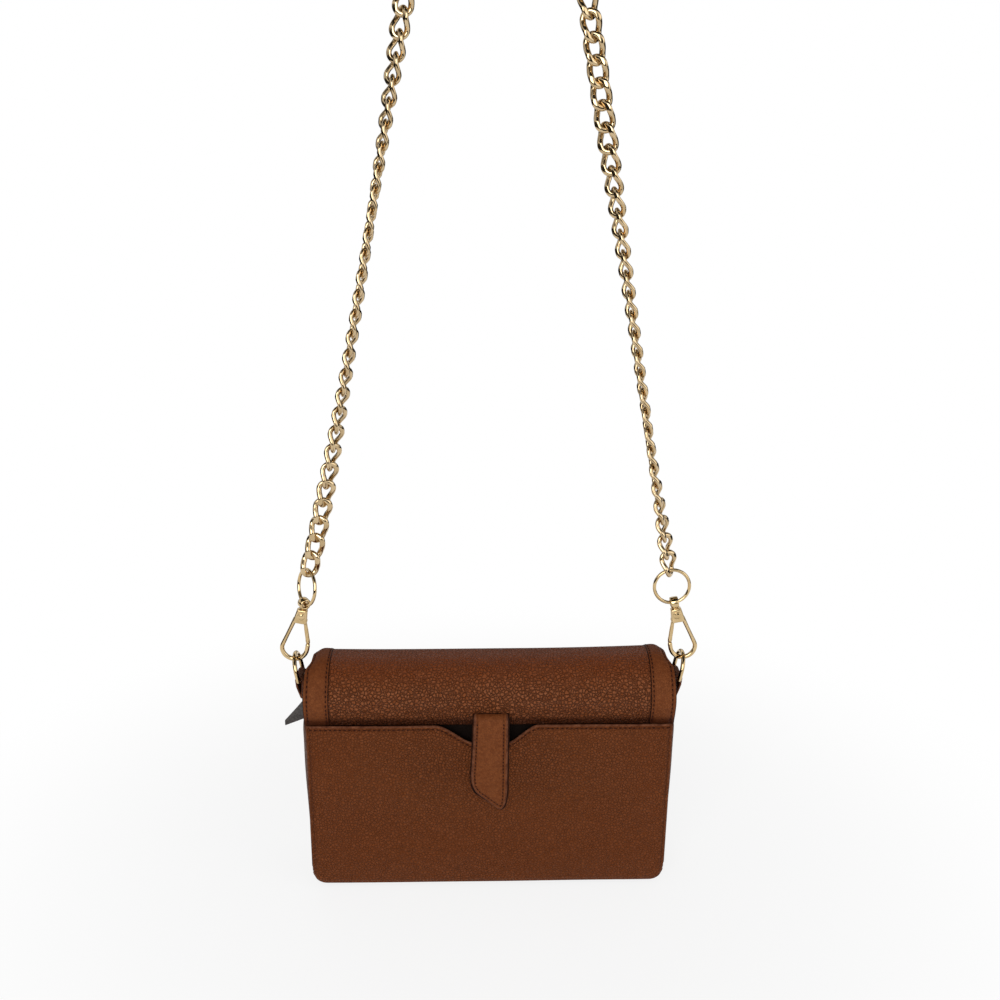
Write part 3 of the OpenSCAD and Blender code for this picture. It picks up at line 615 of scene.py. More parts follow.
def backY(x, z):                        # the back panel's plane and its swell, a low dome with slow waves
    u, w = np.abs(x) / (bag["width"] / 2 - bag["sheetIn"]), z / back["topZ"]
    swell = (1 - u ** 4) * np.clip(w * (1 - w) * 4, 0, 1) * back["swell"]
    return bag["depth"] / 2 + swell + back["wave"] * ripple(x, z, 9, 24)


# The back: the same kind of grid up to a level top, with sunk seams at its sides and under its top.
def backPanel():
    half, top = bag["width"] / 2 - bag["sheetIn"], back["topZ"]
    xs, z, _ = panelGrid(dense(-half, half, 170, 0.8), top, 90)
    toSide = half - np.abs(xs)
    seamLine = np.maximum(hill(toSide, back["seamIn"], 0.75) * ease(z, 4, 12),
                          hill(top - z, back["seamIn"], 0.75))
    y = backY(xs, z) - back["planeIn"] - back["seamDeep"] * seamLine - back["sideRoll"] * hill(toSide, 0, 1)
    outer, seamLine = facing((0, 1, 0), np.stack([xs, y, z], -1), seamLine)
    makeObject("backPanel", [shell(outer, bag["leather"])], "bag",
               [finish["pocket"], finish["lining"], finish["edge"]], ("back_panel",),
               dict(seam=shellValue(seamLine * 0.8)))
    rows, zs = [], np.linspace(9, top - 4, 60)
    for side, _ in bagEnds:
        x = np.full_like(zs, side * (half - back["seamIn"]))
        line = np.stack([x, backY(x, zs) - back["threadIn"], zs], -1)
        rows.append(stitches(line, np.tile([0, 1.0, 0], (len(line), 1))))
    makeObject("backStitches", rows, "bag", [finish["thread"]], ())


# The two tables are (height, y) of a gusset's front and back edge.
gusset = dict(bow=4.4, bowLow=1.4, drawn=2.4, fold=0.9, foldWide=5.0, wave=0.15, planeIn=0.3, halfY=23,
              thickShare=0.9, footZ=8.6, topZ=127.0,
              front=[(8.6, -22.2), (100, -22.2), (104.5, -17.4), (117, -17.0), (127.0, -11.0)],
              back=[(8.6, 22.2), (100, 22.2), (107, 18.8), (117, 18.6), (127.0, 11.0)])


# Half width of the bag at a gusset: a low arc from panel to panel that grows upwards and is drawn in
# again under the flap, less a soft fold down its middle.
def gussetX(y, z):
    g = gusset
    bow = g["bowLow"] + (g["bow"] - g["bowLow"]) * ease(z, 0, 80) - g["drawn"] * ease(z, 96, 116)
    fold = g["fold"] * hill(y, 0, g["foldWide"]) * ease(z, 20, 80)
    return (bag["width"] / 2 + bow * (1 - (y / g["halfY"]) ** 2) - fold
            + g["wave"] * ripple(y * 2, z, 13, 20) - g["planeIn"])


# A gusset runs from panel to panel below, and draws in over the bag's mouth above.
def gussets():
    zs, v = dense(gusset["footZ"], gusset["topZ"], 96, 0.5), dense(0, 1, 44, 0.7)
    front, rear = (fromTable(zs, gusset[k])[:, None] for k in ("front", "back"))
    y, z = front + (rear - front) * v, np.repeat(zs[:, None], len(v), 1)
    seamLine = hill(np.minimum(y - front, rear - y), 0, 1.2) * 0.7
    for side, label in bagEnds:
        outer, seam = facing((side, 0, 0), np.stack([side * gussetX(y, z), y, z], -1), seamLine)
        makeObject("gusset" + label, [shell(outer, bag["leather"] * gusset["thickShare"])], "bag",
                   [finish["side"], finish["lining"], finish["edge"]], ("gusset_" + label.lower(),),
                   dict(seam=shellValue(seam)))


foot = dict(cornerR=8.0, halfY=21.8, sag=0.35, sagHalfY=22, thick=1.9)


def bottomPanel():                      # the strip under the bag, turned up at both ends, with a low sag
    half, r = bag["width"] / 2, foot["cornerR"]
    a = np.linspace(0, np.pi / 2, 12)
    corner = np.stack([half - r + r * np.cos(a), r - r * np.sin(a)], -1)
    flat = np.stack([np.linspace(half - r, -half + r, 90)[1:-1], np.zeros(88)], -1)
    line = np.concatenate([corner, flat, corner[::-1] * [-1, 1]])[2:-2]
    x, y = line[:, :1], np.linspace(-foot["halfY"], foot["halfY"], 40)[None]
    sag = foot["sag"] * (1 - (y / foot["sagHalfY"]) ** 2) * (1 - (x / half) ** 6)
    outer = np.stack([x + 0 * y, y + 0 * x, line[:, 1:] + foot["sag"] - sag], -1)
    outer, = facing((0, 0, -1), outer)
    makeObject("bottomPanel", [shell(outer, foot["thick"])], "bag",
               [finish["side"], finish["lining"], finish["edge"]], ("bottom_panel",))


room = dict(halfX=101.3, frontY=-15.3, backY=22.7, topZ=107.6, floorZ=3.5, square=0.16, cornerShare=0.93,
            sag=1.1, sagMost=2.2, thickX=0.35, thickY=0.3, thickFloor=0.5)


# The main room's cloth: a rounded-rectangle loop carried down the walls, round the bottom corner
# and in across the floor. The long walls sag inwards a little between the corners.
def roomLining():
    r, n = room, 200
    midY, halfY = (r["frontY"] + r["backY"]) / 2, (r["backY"] - r["frontY"]) / 2
    a = np.linspace(0, 2 * np.pi, n, endpoint=False)
    loopX, loopY = signedPower(np.cos(a), r["square"]), signedPower(np.sin(a), r["square"])
    depth = np.concatenate([np.linspace(0, 1, 40), np.ones(16)])[:, None]
    pull = np.concatenate([np.ones(34), np.linspace(1, r["cornerShare"], 7)[1:],
                           np.linspace(r["cornerShare"], 0.02, 16)])[:, None]
    x, y = r["halfX"] * loopX * pull, midY + halfY * loopY * pull
    z = np.repeat(r["topZ"] + (r["floorZ"] - r["topZ"]) * depth, n, 1)
    sag = (r["sag"] * np.abs(loopY) ** 4 * (1 - (x / r["halfX"]) ** 2) * np.sin(np.pi * depth)
           * (1 + 0.5 * ripple(x, z, 21, 16)))
    y = y - np.sign(loopY) * np.clip(sag, 0, r["sagMost"])
    inside = np.stack([x, y, z], -1)
    outside = inside + np.stack([r["thickX"] * np.sign(x), r["thickY"] * np.sign(loopY) + 0 * x,
                                 -r["thickFloor"] * depth ** 30 + 0 * x], -1)
    m, k = len(depth), np.arange(n)
    sides = gridFaces(m, n, roundV=True)
    rim = np.stack([k, (k + 1) % n, (k + 1) % n + m * n, k + m * n], -1)
    faces = np.concatenate([sides, sides[:, ::-1] + m * n, rim[:, ::-1], rim + (m - 1) * n])
    part = np.concatenate([inside.reshape(-1, 3), outside.reshape(-1, 3)]), faces, 0
    makeObject("roomLining", [rightWayOut(part)], "bag", [finish["lining"]], ("inner_lining",))


wall = dict(halfX=101.3, footZ=3.2, topZ=107.8, frontY=-17.9, wave=0.4, thick=2.0)


def frontWall():                        # between the outside pocket and the main room, cloth on both sides
    half = wall["halfX"]
    z = dense(wall["footZ"], wall["topZ"], 50, 0.6)
    xs, zs = np.meshgrid(dense(-half, half, 110, 0.7), z, indexing="ij")
    wave = wall["wave"] * (1 - (xs / half) ** 2) * np.sin(np.pi * zs / 110) + 0.1 * ripple(xs, zs, 31, 18)
    outer, = facing((0, -1, 0), np.stack([xs, wall["frontY"] - wave, zs], -1))
    makeObject("frontWall", [shell(outer, wall["thick"])], "bag",
               [finish["lining"], finish["lining"], finish["edge"]], ("front_wall", "pocket_lining"))


for make in (pocketPanel, backPanel, gussets, bottomPanel, roomLining, frontWall):
    make()
print("bag body made")


# Names that end in At and Wide are places and widths along the flap's line, from its front edge.
flap = dict(width=215.4, topWidth=209.2, bandSeam=92.6, lowZ=105.0, seamZ=108.2, rollZ=118.0, rollR=22.0,
            flatY=3.0, sheetIn=1.0, thick=1.8, lining=1.4, wave=0.2, swell=1.9, swellAt=14.5, swellWide=8.5,
            swellLess=0.55, tuck=1.3, tuckWide=4.5, lift=0.8, liftEnds=1.1, liftTilt=1.2, liftAt=44,
            liftWide=24, pinch=3.2, pinchIn=10, bandStep=0.75, bandThick=1.1, proud=0.55, groove=0.3,
            endSeam=2.6, stitchPitch=2.8)


# Profile of the flap, from the tucked front edge over the roll to the seam: a straight run up, two
# quarter turns about the roll's middles, a straight run down. Returns points and their lengths.
def flapLine(count=132):
    r, rollZ, rearY = flap["rollR"], flap["rollZ"], flap["flatY"] + flap["rollR"]
    a = np.linspace(np.pi, np.pi / 2, 60)
    front = np.stack([r * np.cos(a), rollZ + r * np.sin(a)], -1)
    rear = np.stack([flap["flatY"] - r * np.cos(a[::-1]), rollZ + r * np.sin(a[::-1])], -1)
    up = np.stack([np.full(14, -r), np.linspace(flap["lowZ"] + flap["sheetIn"], rollZ, 15)[:-1]], -1)
    down = np.stack([np.full(10, rearY), np.linspace(rollZ, flap["seamZ"] + flap["sheetIn"], 11)[1:]], -1)
    line = np.concatenate([up, front, rear, down])
    length = runLength(line)
    at = np.linspace(0, length[-1], count)
    return readAt(at, length, line), at


# The flap's surface over the widths xs, at a height off its face. The face swells where it turns down
# to the pocket and tucks in behind its rim; the roll is lifted, more near its ends, then pinched at them;
# beyond the bands' seams the widths shrink over the roll. Slow waves run over all of it.
def flapGrid(xs, height=0.0):
    f = flap
    line, at = flapLine()
    normal = unit(np.stack([-np.gradient(line[:, 1]), np.gradient(line[:, 0])], -1))
    x, s = np.meshgrid(xs, at, indexing="ij")
    total, half = at[-1], f["width"] / 2
    free = np.sin(np.pi * np.clip(s / total, 0, 1)) ** 0.5
    toSeam = ease(total - s, 4, 30)
    far = np.clip((np.abs(x) - f["bandSeam"]) / (half - f["bandSeam"]), 0, 1.02)
    narrower = far * (f["width"] - f["topWidth"]) / 2 * ease(s, 33, 44.5) * toSeam
    swell = f["swell"] * hill(s, f["swellAt"], f["swellWide"]) * (1 - f["swellLess"] * hill(x, 0, 16))
    raised = f["lift"] + f["liftEnds"] * np.clip(np.abs(x) / 98, 0, 1) ** 3 + f["liftTilt"] * x / half
    pinch = f["pinch"] * ease(np.abs(x), half - f["pinchIn"], half + 1) ** 1.4 * ease(s, 22, 42) * toSeam
    tuck = f["tuck"] * hill(s, 0, f["tuckWide"])
    lift = raised * hill(s, f["liftAt"], f["liftWide"]) * free
    off = height + f["wave"] * ripple(x, s * 1.2, 41, 26) * free + swell - tuck + lift - pinch
    y, z = (line[:, k] + normal[:, k] * off for k in (0, 1))
    return np.stack([x - np.sign(x) * narrower, y, z], -1), s


# where this value is low the colour is also darkened: painted shade on the flap's upturned roll
def flapGrainAndShade(s):                       # the grain stands out on the front and fades on the roll
    return 0.46 + 0.72 * hill(s, 11, 16) + 0.3 * hill(s, 96, 22)


# painted shade: the flap's colour is darkened where it tucks in behind the pocket's rim
def flapFootShade(s):                        # dark where the flap tucks in behind the pocket's rim
    return 0.65 * (1 - ease(s, 2, 6.5)) + 0.2 * (1 - ease(s, 4, 13))


def outwards(grid):                     # ways out from the middle of the roll
    return grid * np.array([0, 1.0, 1.0]) - np.array([0, 1.5, 112.0])


# The flap's leather, with a step down under each band, and the lining on its back.
def flapShell():
    half, inner = flap["width"] / 2 - 0.9, flap["bandSeam"] + 0.4
    xs = np.concatenate([np.linspace(-half, -inner - 1, 12), np.linspace(-inner - 0.6, -inner + 3, 12),
                         np.linspace(-inner + 4, inner - 4, 130), np.linspace(inner - 3, inner + 0.6, 12),
                         np.linspace(inner + 1, half, 12)])
    step = flap["bandStep"] * ease(np.abs(xs), inner - 0.4, inner + 0.7)        # the bands lie in this step
    grid, s = flapGrid(xs, -step[:, None])
    # dark under the bands' inner edges, plus painted shade at the flap's foot
    seam = 0.6 * hill(np.abs(xs), inner - 0.2, 0.6)[:, None] + flapFootShade(s)
    outer, seam, s = facing(outwards(grid), grid, np.clip(seam, 0, 1), s)
    makeObject("flapShell", [shell(outer, flap["thick"])], "flap",
               [finish["flap"], finish["suede"], finish["darkEdgeAndShade"]], ("flap_shell",),
               dict(seam=shellValue(seam), grain=shellValue(flapGrainAndShade(s))))
    under, _ = flapGrid(np.linspace(-half + 0.3, half - 0.3, 90), -flap["thick"] - 0.02)
    under, = facing(outwards(under), under)
    makeObject("flapLining", [shell(under, flap["lining"] - 0.1)], "flap",
               [finish["suede"], finish["lining"], finish["edge"]], ("flap_lining",))


# A band at each end of the flap: a low cushion across, with a groove for the thread at both sides.
def flapBands():
    rows = []
    for side, label in bagEnds:
        a, b = flap["bandSeam"] + 0.6, flap["width"] / 2 - 0.75
        wide = np.linspace(a, b, 40)
        lift = flap["proud"] * (0.5 + 0.5 * np.clip(np.sin(np.pi * (wide - a) / (b - a)), 0, 1) ** 0.6)
        grooves = (a + 1.1, b - flap["endSeam"] + 0.75)
        groove = flap["groove"] * (hill(wide, grooves[0], 0.6) + hill(wide, grooves[1], 0.6))
        grid, s = flapGrid(side * wide, (lift - groove)[:, None])
        # dark along the bands' grooves, plus painted shade at the flap's foot
        seam = (0.25 * hill(wide, grooves[0], 0.7) + 0.5 * hill(wide, grooves[1], 0.6))[:, None] + flapFootShade(s)
        outer, seam, s = facing(outwards(grid), grid, np.clip(seam, 0, 1), s)
        makeObject("flapBand" + label, [shell(outer, flap["bandThick"])], "flap",
                   [finish["band"], finish["suede"], finish["darkEdgeAndShade"]], ("flap_band_" + label.lower(),),
                   dict(seam=shellValue(seam), grain=shellValue(0.5 + 0.5 * flapGrainAndShade(s))))
        for spot in grooves:
            path = flapGrid(side * np.array([spot, spot + 0.01]), 0.14)[0][0][2:-2]
            normal = unit(np.cross(unit(np.gradient(path, axis=0)), [1.0, 0, 0]))
            normal = normal * np.sign((normal * outwards(path)).sum(-1, keepdims=True))
            rows.append(stitches(path, normal, flap["stitchPitch"]))
    makeObject("flapStitches", rows, "flap", [finish["thread"]], ())


hinge = dict(half=104.3, lowZ=100.0, highZ=116.5, inY=22.3, step=0.8, wave=0.05, thick=0.35)


# The lining carries on from the bag's back wall to the flap, and bends where the flap turns.
def hingeCloth():
    x, z = dense(-hinge["half"], hinge["half"], 80, 0.6), np.linspace(hinge["lowZ"], hinge["highZ"], 34)
    xs, zs = np.meshgrid(x, z, indexing="ij")
    y = hinge["inY"] - hinge["step"] * ease(zs, 105.5, 109.5) + hinge["wave"] * ripple(xs, zs, 71, 9)
    grid, = facing((0, -1, 0), np.stack([xs, y, zs], -1))
    obj = makeObject("hingeCloth", [shell(grid, hinge["thick"], 4)], None, [finish["lining"]] * 3, ())
    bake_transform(obj)


flapShell()
flapBands()
hingeCloth()
print("flap made")


# The side tables are (x, height) from the top down, and low runs along the slanting edge.
tab = dict(thick=2.5, backing=1.0, backingOut=1.55, backingIn=0.15, faceY=-25.5, curl=3.4, curlZ=110.8,
           inset=1.1, seam=1.15, seamDeep=0.3, shift=0.45, cushion=0.5, stitchPitch=2.25, half=10.4,
           slant=1.25,
           left=[(-9.2, 118), (-9.3, 110), (-9.9, 92), (-10.8, 76)], right=[(10.1, 118), (10.1, 65)],
           low=[(-10.85, 74.0), (-10.6, 70.6), (-9.9, 67.4), (-8.9, 65.2), (-7.6, 63.6), (-5, 61.6),
                (0, 57.7), (4.4, 54.2), (6.0, 53.1), (7.2, 53.0), (8.4, 54.4), (9.3, 57.4), (9.8, 61.0),
                (10.05, 64.8)])


def tabBack(x, z):                      # the tab's back lies on the pocket panel, and leans out over its rim
    return np.minimum(frontY(x, np.minimum(z, 100)) - 0.3, tab["faceY"] + 0.2)


def tabSide(z, side):                   # x of a side line at a height
    x, heights = np.array(tab[side], float).T
    return np.interp(-z, -heights, x)


# The tab's face: u across it between its side lines, v down to the lower line, so every column ends on
# the slanting edge. The top curls back, a quarter turn, into the slit in the flap.
def tabSheet(inset, deep=0.0):
    u, v, q = dense(-1, 1, 72, 0.75)[:, None], dense(0, 1, 96, 0.6), np.linspace(0, np.pi / 2, 14)[:-1]
    lowX, lowZ = np.array(tab["low"], float).T
    spots = (u + 1) / 2 * (lowX[-1] - lowX[0] - 2 * inset) + lowX[0] + inset
    low = np.interp(spots, lowX * (1 - inset / tab["half"]) - 0.02, lowZ + tab["slant"] * inset)
    z = tab["curlZ"] + (low - tab["curlZ"]) * v
    a, b = tabSide(z, "left") + inset, tabSide(z, "right") - inset
    x = a + (b - a) * (u + 1) / 2
    toSide = np.minimum(x - a + tab["shift"], b - x - 0.45 * tab["shift"])
    near = np.minimum(toSide, (z - low) * 0.8)
    groove = hill(near, tab["seam"], 0.5)
    wave = 0.1 * ripple(x * 1.5, z, 61, 7) + 0.07 * ripple(x * 0.35, z * 1.3, 67, 1.6)
    y = (tabBack(x, z) - tab["thick"] - tab["cushion"] * ease(near, 0, 3.4) + tab["seamDeep"] * groove
         - 0.35 * hill(z, 104, 7) + deep - wave * ease(near, 0.5, 4))
    curlY = y[:, :1] + tab["curl"] * 1.35 * (1 - np.sin(q))
    curlZ = np.tile(tab["curlZ"] + tab["curl"] * np.cos(q), (len(u), 1))
    top = np.stack([np.repeat(x[:, :1], len(q), 1), curlY, curlZ], -1)
    grid = np.concatenate([top, np.stack([x, y, z], -1)], 1)
    return grid, np.concatenate([np.repeat(groove[:, :1], len(q), 1), groove], 1)


def tabThread(face):                    # one row: down the left side, along the slant, up the right side
    inset, topZ = tab["inset"] + tab["seam"], tab["curlZ"] - 0.5
    zs = np.linspace(topZ, 74, 60)
    left = np.stack([tabSide(zs, "left") + inset - tab["shift"], zs], -1)
    right = np.stack([np.full(60, 9.9 - inset), np.linspace(66, topZ, 60)], -1)
    low = np.array(tab["low"], float)
    ahead = unit(np.gradient(low, axis=0))
    inward = np.stack([-ahead[:, 1], ahead[:, 0]], -1)
    inward = inward * np.sign((inward * ([0.0, 68.0] - low)).sum(-1, keepdims=True))
    slant = (low + inward * inset)[1:-2]
    slant = slant[(slant[:, 0] > left[-1, 0] - 0.2) & (slant[:, 0] < 10.2 - inset)]
    line = np.concatenate([left[:-3], slant, right])
    length = runLength(line)
    path = readAt(np.linspace(0, length[-1], 240), length, line)
    points = face.reshape(-1, 3)
    nearest = ((path[:, None] - points[:, [0, 2]]) ** 2).sum(-1).argmin(1)
    y = np.convolve(np.pad(points[nearest, 1], 4, "edge"), np.ones(9) / 9, "valid")
    return np.stack([path[:, 0], y, path[:, 1]], -1)


def tabPiece():                         # face, backing and thread
    grid, groove = tabSheet(tab["inset"])
    face, groove = facing((0, -1, 0), grid, groove)
    makeObject("tabLeather", [shell(face, tab["thick"])], "tab",
               [finish["band"], finish["suede"], finish["edge"]], ("tab_front",),
               dict(seam=shellValue(groove * 0.4)))
    # painted shade: the backing is near-black, so the narrow line it shows round the face stands in
    # for the tab's contact shadow on the pocket as well as its dark edge
    deep = tab["thick"] + tab["cushion"] - tab["backing"] - tab["backingIn"]
    under, = facing((0, -1, 0), tabSheet(tab["inset"] - tab["backingOut"], deep)[0])
    makeObject("tabBacking", [shell(under, tab["backing"])], "tab", [finish["darkEdgeAndShade"]] * 3,
               ("tab_backing",))
    run = tabThread(face)
    thread = stitches(run, np.tile([0, -1.0, 0], (len(run), 1)), tab["stitchPitch"])
    makeObject("tabStitches", [thread], "tab", [finish["thread"]], ())


tabPiece()
print("tab made")


loop = dict(x=111.3, barZ=127.2, barR=1.35, thick=1.1, half=6.9, low=116.2, taper=0.08, outerLow=110.9,
            outerMid=113.3, outerStep=4, innerLow=109.4, threadX=112.45, threadZ=120.5, threadHalf=5.6,
            pitch=2.2)


# A strip of leather that comes up from the gusset, turns over the D-ring's bar, a half circle, and goes
# down again, a little narrower at its top.
def ringLoops():
    r, steps = loop["barR"] + loop["thick"], 24
    z, a = np.linspace(loop["low"], loop["barZ"], 18), np.linspace(0, np.pi, 22)[1:]
    outer = fromTable(z, [(loop["low"], loop["outerLow"]),
                          (loop["barZ"] - loop["outerStep"], loop["outerMid"]),
                          (loop["barZ"], loop["x"] + r)])
    inner = fromTable(z, [(loop["low"], loop["innerLow"]), (loop["barZ"], loop["x"] - r)])
    over = np.stack([loop["x"] + r * np.cos(a), loop["barZ"] + r * np.sin(a)], -1)
    line = np.concatenate([np.stack([outer, z], -1), over, np.stack([inner, z], -1)[::-1][1:]])
    taper = 1 - loop["taper"] * ease(line[:, 1:], 118, 127)
    y = dense(-loop["half"], loop["half"], steps, 0.6) * taper
    for side, label in bagEnds:
        grid = np.stack([side * line[:, :1] + 0 * y, y, line[:, 1:] + 0 * y], -1)
        grid, = facing(grid - np.array([side * loop["x"], 0, loop["barZ"] - 3]), grid)
        makeObject("ringLoop" + label, [shell(grid, loop["thick"], 4)], "bag",
                   [finish["side"], finish["suede"], finish["edge"]], ("dring_tab_" + label.lower(),))
        ys = np.linspace(-loop["threadHalf"], loop["threadHalf"], 20)
        path = np.stack([np.full(20, side * loop["threadX"]), ys, np.full(20, loop["threadZ"])], -1)
        row = stitches(path, np.tile([side * 1.0, 0, 0.1], (20, 1)), loop["pitch"])
        makeObject("ringLoopStitch" + label, [row], "bag", [finish["darkThread"]], ())


tail = dict(rootZ=114.5, lowZ=100.5, outX=-110.0, rootIn=2.2, reach=11.8, tipTop=97.5, tipLow=94.6,
            thick=0.42, apart=0.45, bulge=0.5, wave=0.12)


# Two leaves of tape, sewn at the root and pinched to a point: each leaf is a tapering strip whose
# middle stands off the other, so a dark line shows between them.
def zipTail():
    v, u = np.meshgrid(np.linspace(0, 1, 26), np.linspace(0, 1, 22), indexing="ij")
    topZ, lowZ = (tail[a] + (tail[b] - tail[a]) * v for a, b in (("rootZ", "tipTop"), ("lowZ", "tipLow")))
    x = tail["outX"] + tail["rootIn"] - (tail["reach"] + tail["rootIn"]) * v ** 1.05
    z = topZ + (lowZ - topZ) * u
    leaves = []
    for sign in (-1, 1):
        apart = tail["apart"] + tail["bulge"] * np.sin(np.pi * u) * (1 - v ** 2)
        apart = apart + tail["wave"] * ripple(x, z, 51 + sign, 4)
        leaf, = facing((0, sign, 0), np.stack([x, sign * apart, z], -1))
        leaves.append(shell(leaf, tail["thick"], 3))
    makeObject("zipTail", leaves, "bag", [finish["tape"]] * 3, ("zip_tail",))


ringLoops()
zipTail()
print("loops and zip tail made")


# The two turn tables are (share of the chain's side from its foot, degrees).
strap = dict(hookX=114.0, hookZ=138.2, rise=456.0, pegR=28.0, wire=2.3, halfW=3.9, pitch=10.8, gap=0.5,
             wring=32.0, nestle=0.3, linkHalf=3.98, linkWring=25.0, linkWide=3.25, linkThick=2.5, flat=2.45,
             ground=0.1, sagLeft=2.6, sagRight=0.8,
             leftTurns=[(0, 0), (0.07, 25), (0.15, 52), (0.23, 70), (0.31, 80), (0.43, 87), (0.5, 92),
                        (0.6, 102), (0.7, 120), (0.77, 147), (0.86, 194), (0.93, 233), (1, 270)],
             rightTurns=[(0, 505), (0.04, 485), (0.07, 475), (0.13, 464), (0.2, 457), (0.26, 452),
                         (0.33, 448), (0.4, 443), (0.46, 435), (0.53, 424), (0.59, 404), (0.67, 376),
                         (0.77, 345), (0.88, 306), (1, 270)],
             oringR=10.2, oringWire=2.0, oringTurn=57.0, dringR=9.0, dringWire=2.5, dringTilt=11.0,
             dringClear=1.75, dringLeg=5.2, dringCorner=1.2, claspL=31.8, eyeNeck=0.6, eyeD=6.8)
wring = math.radians(strap["wring"])
bendR = strap["pegR"] + strap["halfW"] * math.sin(wring) + strap["wire"] / 2     # of the chain over the peg
dropC = strap["rise"] - strap["pegR"]
span = math.hypot(strap["hookX"], dropC)
lean = math.acos(bendR / span) - math.atan(dropC / strap["hookX"])      # of each side, inwards from upright
eyeS = strap["claspL"] + strap["eyeNeck"] + strap["eyeD"] / 2           # lengths up a side, from its hook
oringS = eyeS + strap["oringR"]
reach = (strap["pitch"] + strap["wire"] + strap["gap"]) / 2             # half a link's length
firstS = oringS + strap["oringR"] - (strap["oringWire"] + strap["wire"]) / 2 - strap["nestle"] + reach
sideL = span * math.sin(math.acos(bendR / span)) - firstS
bendL = bendR * (math.pi - 2 * lean)
chainL = 2 * sideL + bendL
linkCount = round(chainL / strap["pitch"]) + 1
step = chainL / (linkCount - 1)
sideCount = math.floor(sideL / step) + 1


def onStrap(side, u, t, y=0.0):         # u out and t up a strap line, from the hook's lowest wire, in bag mm
    u, t, y = np.broadcast_arrays(np.asarray(u, float), np.asarray(t, float), np.asarray(y, float))
    return np.stack([side * (strap["hookX"] + u * math.cos(lean) - t * math.sin(lean)), y,
                     strap["hookZ"] + t * math.cos(lean) + u * math.sin(lean)], -1)


# A curb link: a stadium loop whose flat is wrung about its long axis, most at its two round ends, swept
# by an oval wire, with the proud corners ground flat.
def oneLink(around=14):
    w, straight = strap["linkHalf"], reach - strap["linkHalf"]
    a = np.linspace(0, np.pi, 19)
    top = np.stack([w * np.cos(a), straight + w * np.sin(a)], -1)
    down = np.stack([np.full(9, -w), np.linspace(straight, -straight, 11)[1:-1]], -1)
    x, z = np.concatenate([top, down, -top, -down]).T
    phi = -math.radians(strap["linkWring"]) * np.sin(np.clip(z / (straight + 1.2), -1, 1) * np.pi / 2)
    path = np.stack([x * np.cos(phi), x * np.sin(phi), z], -1)
    points, faces, _ = tube(path, strap["linkWide"] / 2, strap["linkThick"] / 2, (0, 1.0, 0), around,
                            ends=False)
    over, y = np.abs(points[:, 1]) - strap["flat"], points[:, 1]
    points[:, 1] = np.where(over > 0, np.sign(y) * (strap["flat"] + strap["ground"] * over), y)
    return points, faces


# Place, tilt and turn of a link at a length along the strap's loop, row mm. The turn follows the side's
# table, read softly, and the side hangs inwards by a low arch.
def linkPlace(length):
    if sideL < length < sideL + bendL:
        a = (length - sideL) / bendR + lean
        return -bendR * math.cos(a), bendR * math.sin(a) - strap["pegR"], a, 270.0
    left = length <= sideL
    at = length if left else chainL - length
    share = np.clip(at / sideL, 0, 1)
    near = np.clip(share + np.linspace(-0.03, 0.03, 7), 0, 1)
    turned = fromTable(near, strap["leftTurns" if left else "rightTurns"]).mean()
    arch = strap["sagLeft" if left else "sagRight"] * math.sin(math.pi * share ** 0.6)
    s = firstS + at
    x, z = strap["hookX"] - s * math.sin(lean) - arch, s * math.cos(lean) - strap["rise"]
    return (-x, z, lean, turned) if left else (x, z, math.pi - lean, turned)


def placedLink(points, length):         # turned about its own long axis, tilted, then moved
    x, z, tilt, turned = linkPlace(length)
    c, s = math.cos(math.radians(turned)), math.sin(math.radians(turned))
    x0, y0, up = points.T
    across, y = x0 * c - y0 * s, x0 * s + y0 * c
    c, s = math.cos(tilt), math.sin(tilt)
    return np.stack([across * c + up * s + x, y, -across * s + up * c + z], -1)


def chains():                           # one side's links, those over the peg, and the other side's
    points, faces = oneLink()
    stretches = (("Left", 0, sideCount - 1), ("Over", sideCount - 1, linkCount - sideCount + 1),
                 ("Right", linkCount - sideCount + 1, linkCount))
    for label, first, end in stretches:
        links = np.concatenate([placedLink(points, k * step) for k in range(first, end)])
        blocks = np.concatenate([faces + k * len(points) for k in range(end - first)])
        makeObject("curbLinks" + label, [rightWayOut((links, blocks, 0))], "strap", [finish["chain"]],
                   ("chain_" + label.lower(),), inBag=False)


def addPiece(name, parts, body, node):  # a gold piece of closed parts
    makeObject(name, [rightWayOut(part) for part in parts], body, [finish["gold"]], (node,))


clasp = dict(wire=2.6, r=7.3, headLow=23.6, headTop=31.8, spineU=3.6, headIn=-3.4, headOut=4.9, topIn=-2.7,
             topOut=3.4, thick=4.8, square=0.32, nose=3.6, pivotU=-2.0, pivotS=25.3, knuckleR=1.5,
             knuckleW=2.0, gateD=2.4, gateThick=2.3, eyeWide=2.4, eyeSquare=0.55)
hookU = clasp["r"] * math.sin(lean)     # the round end's middle, out and up from the hook's lowest wire
hookS = math.sqrt(clasp["r"] ** 2 - hookU ** 2)
noseS = hookS + clasp["nose"]


def strapWays(side):                    # up a strap line, and out from it
    return (unit(np.array([-side * math.sin(lean), 0, math.cos(lean)])),
            unit(np.array([side * math.cos(lean), 0, math.sin(lean)])))


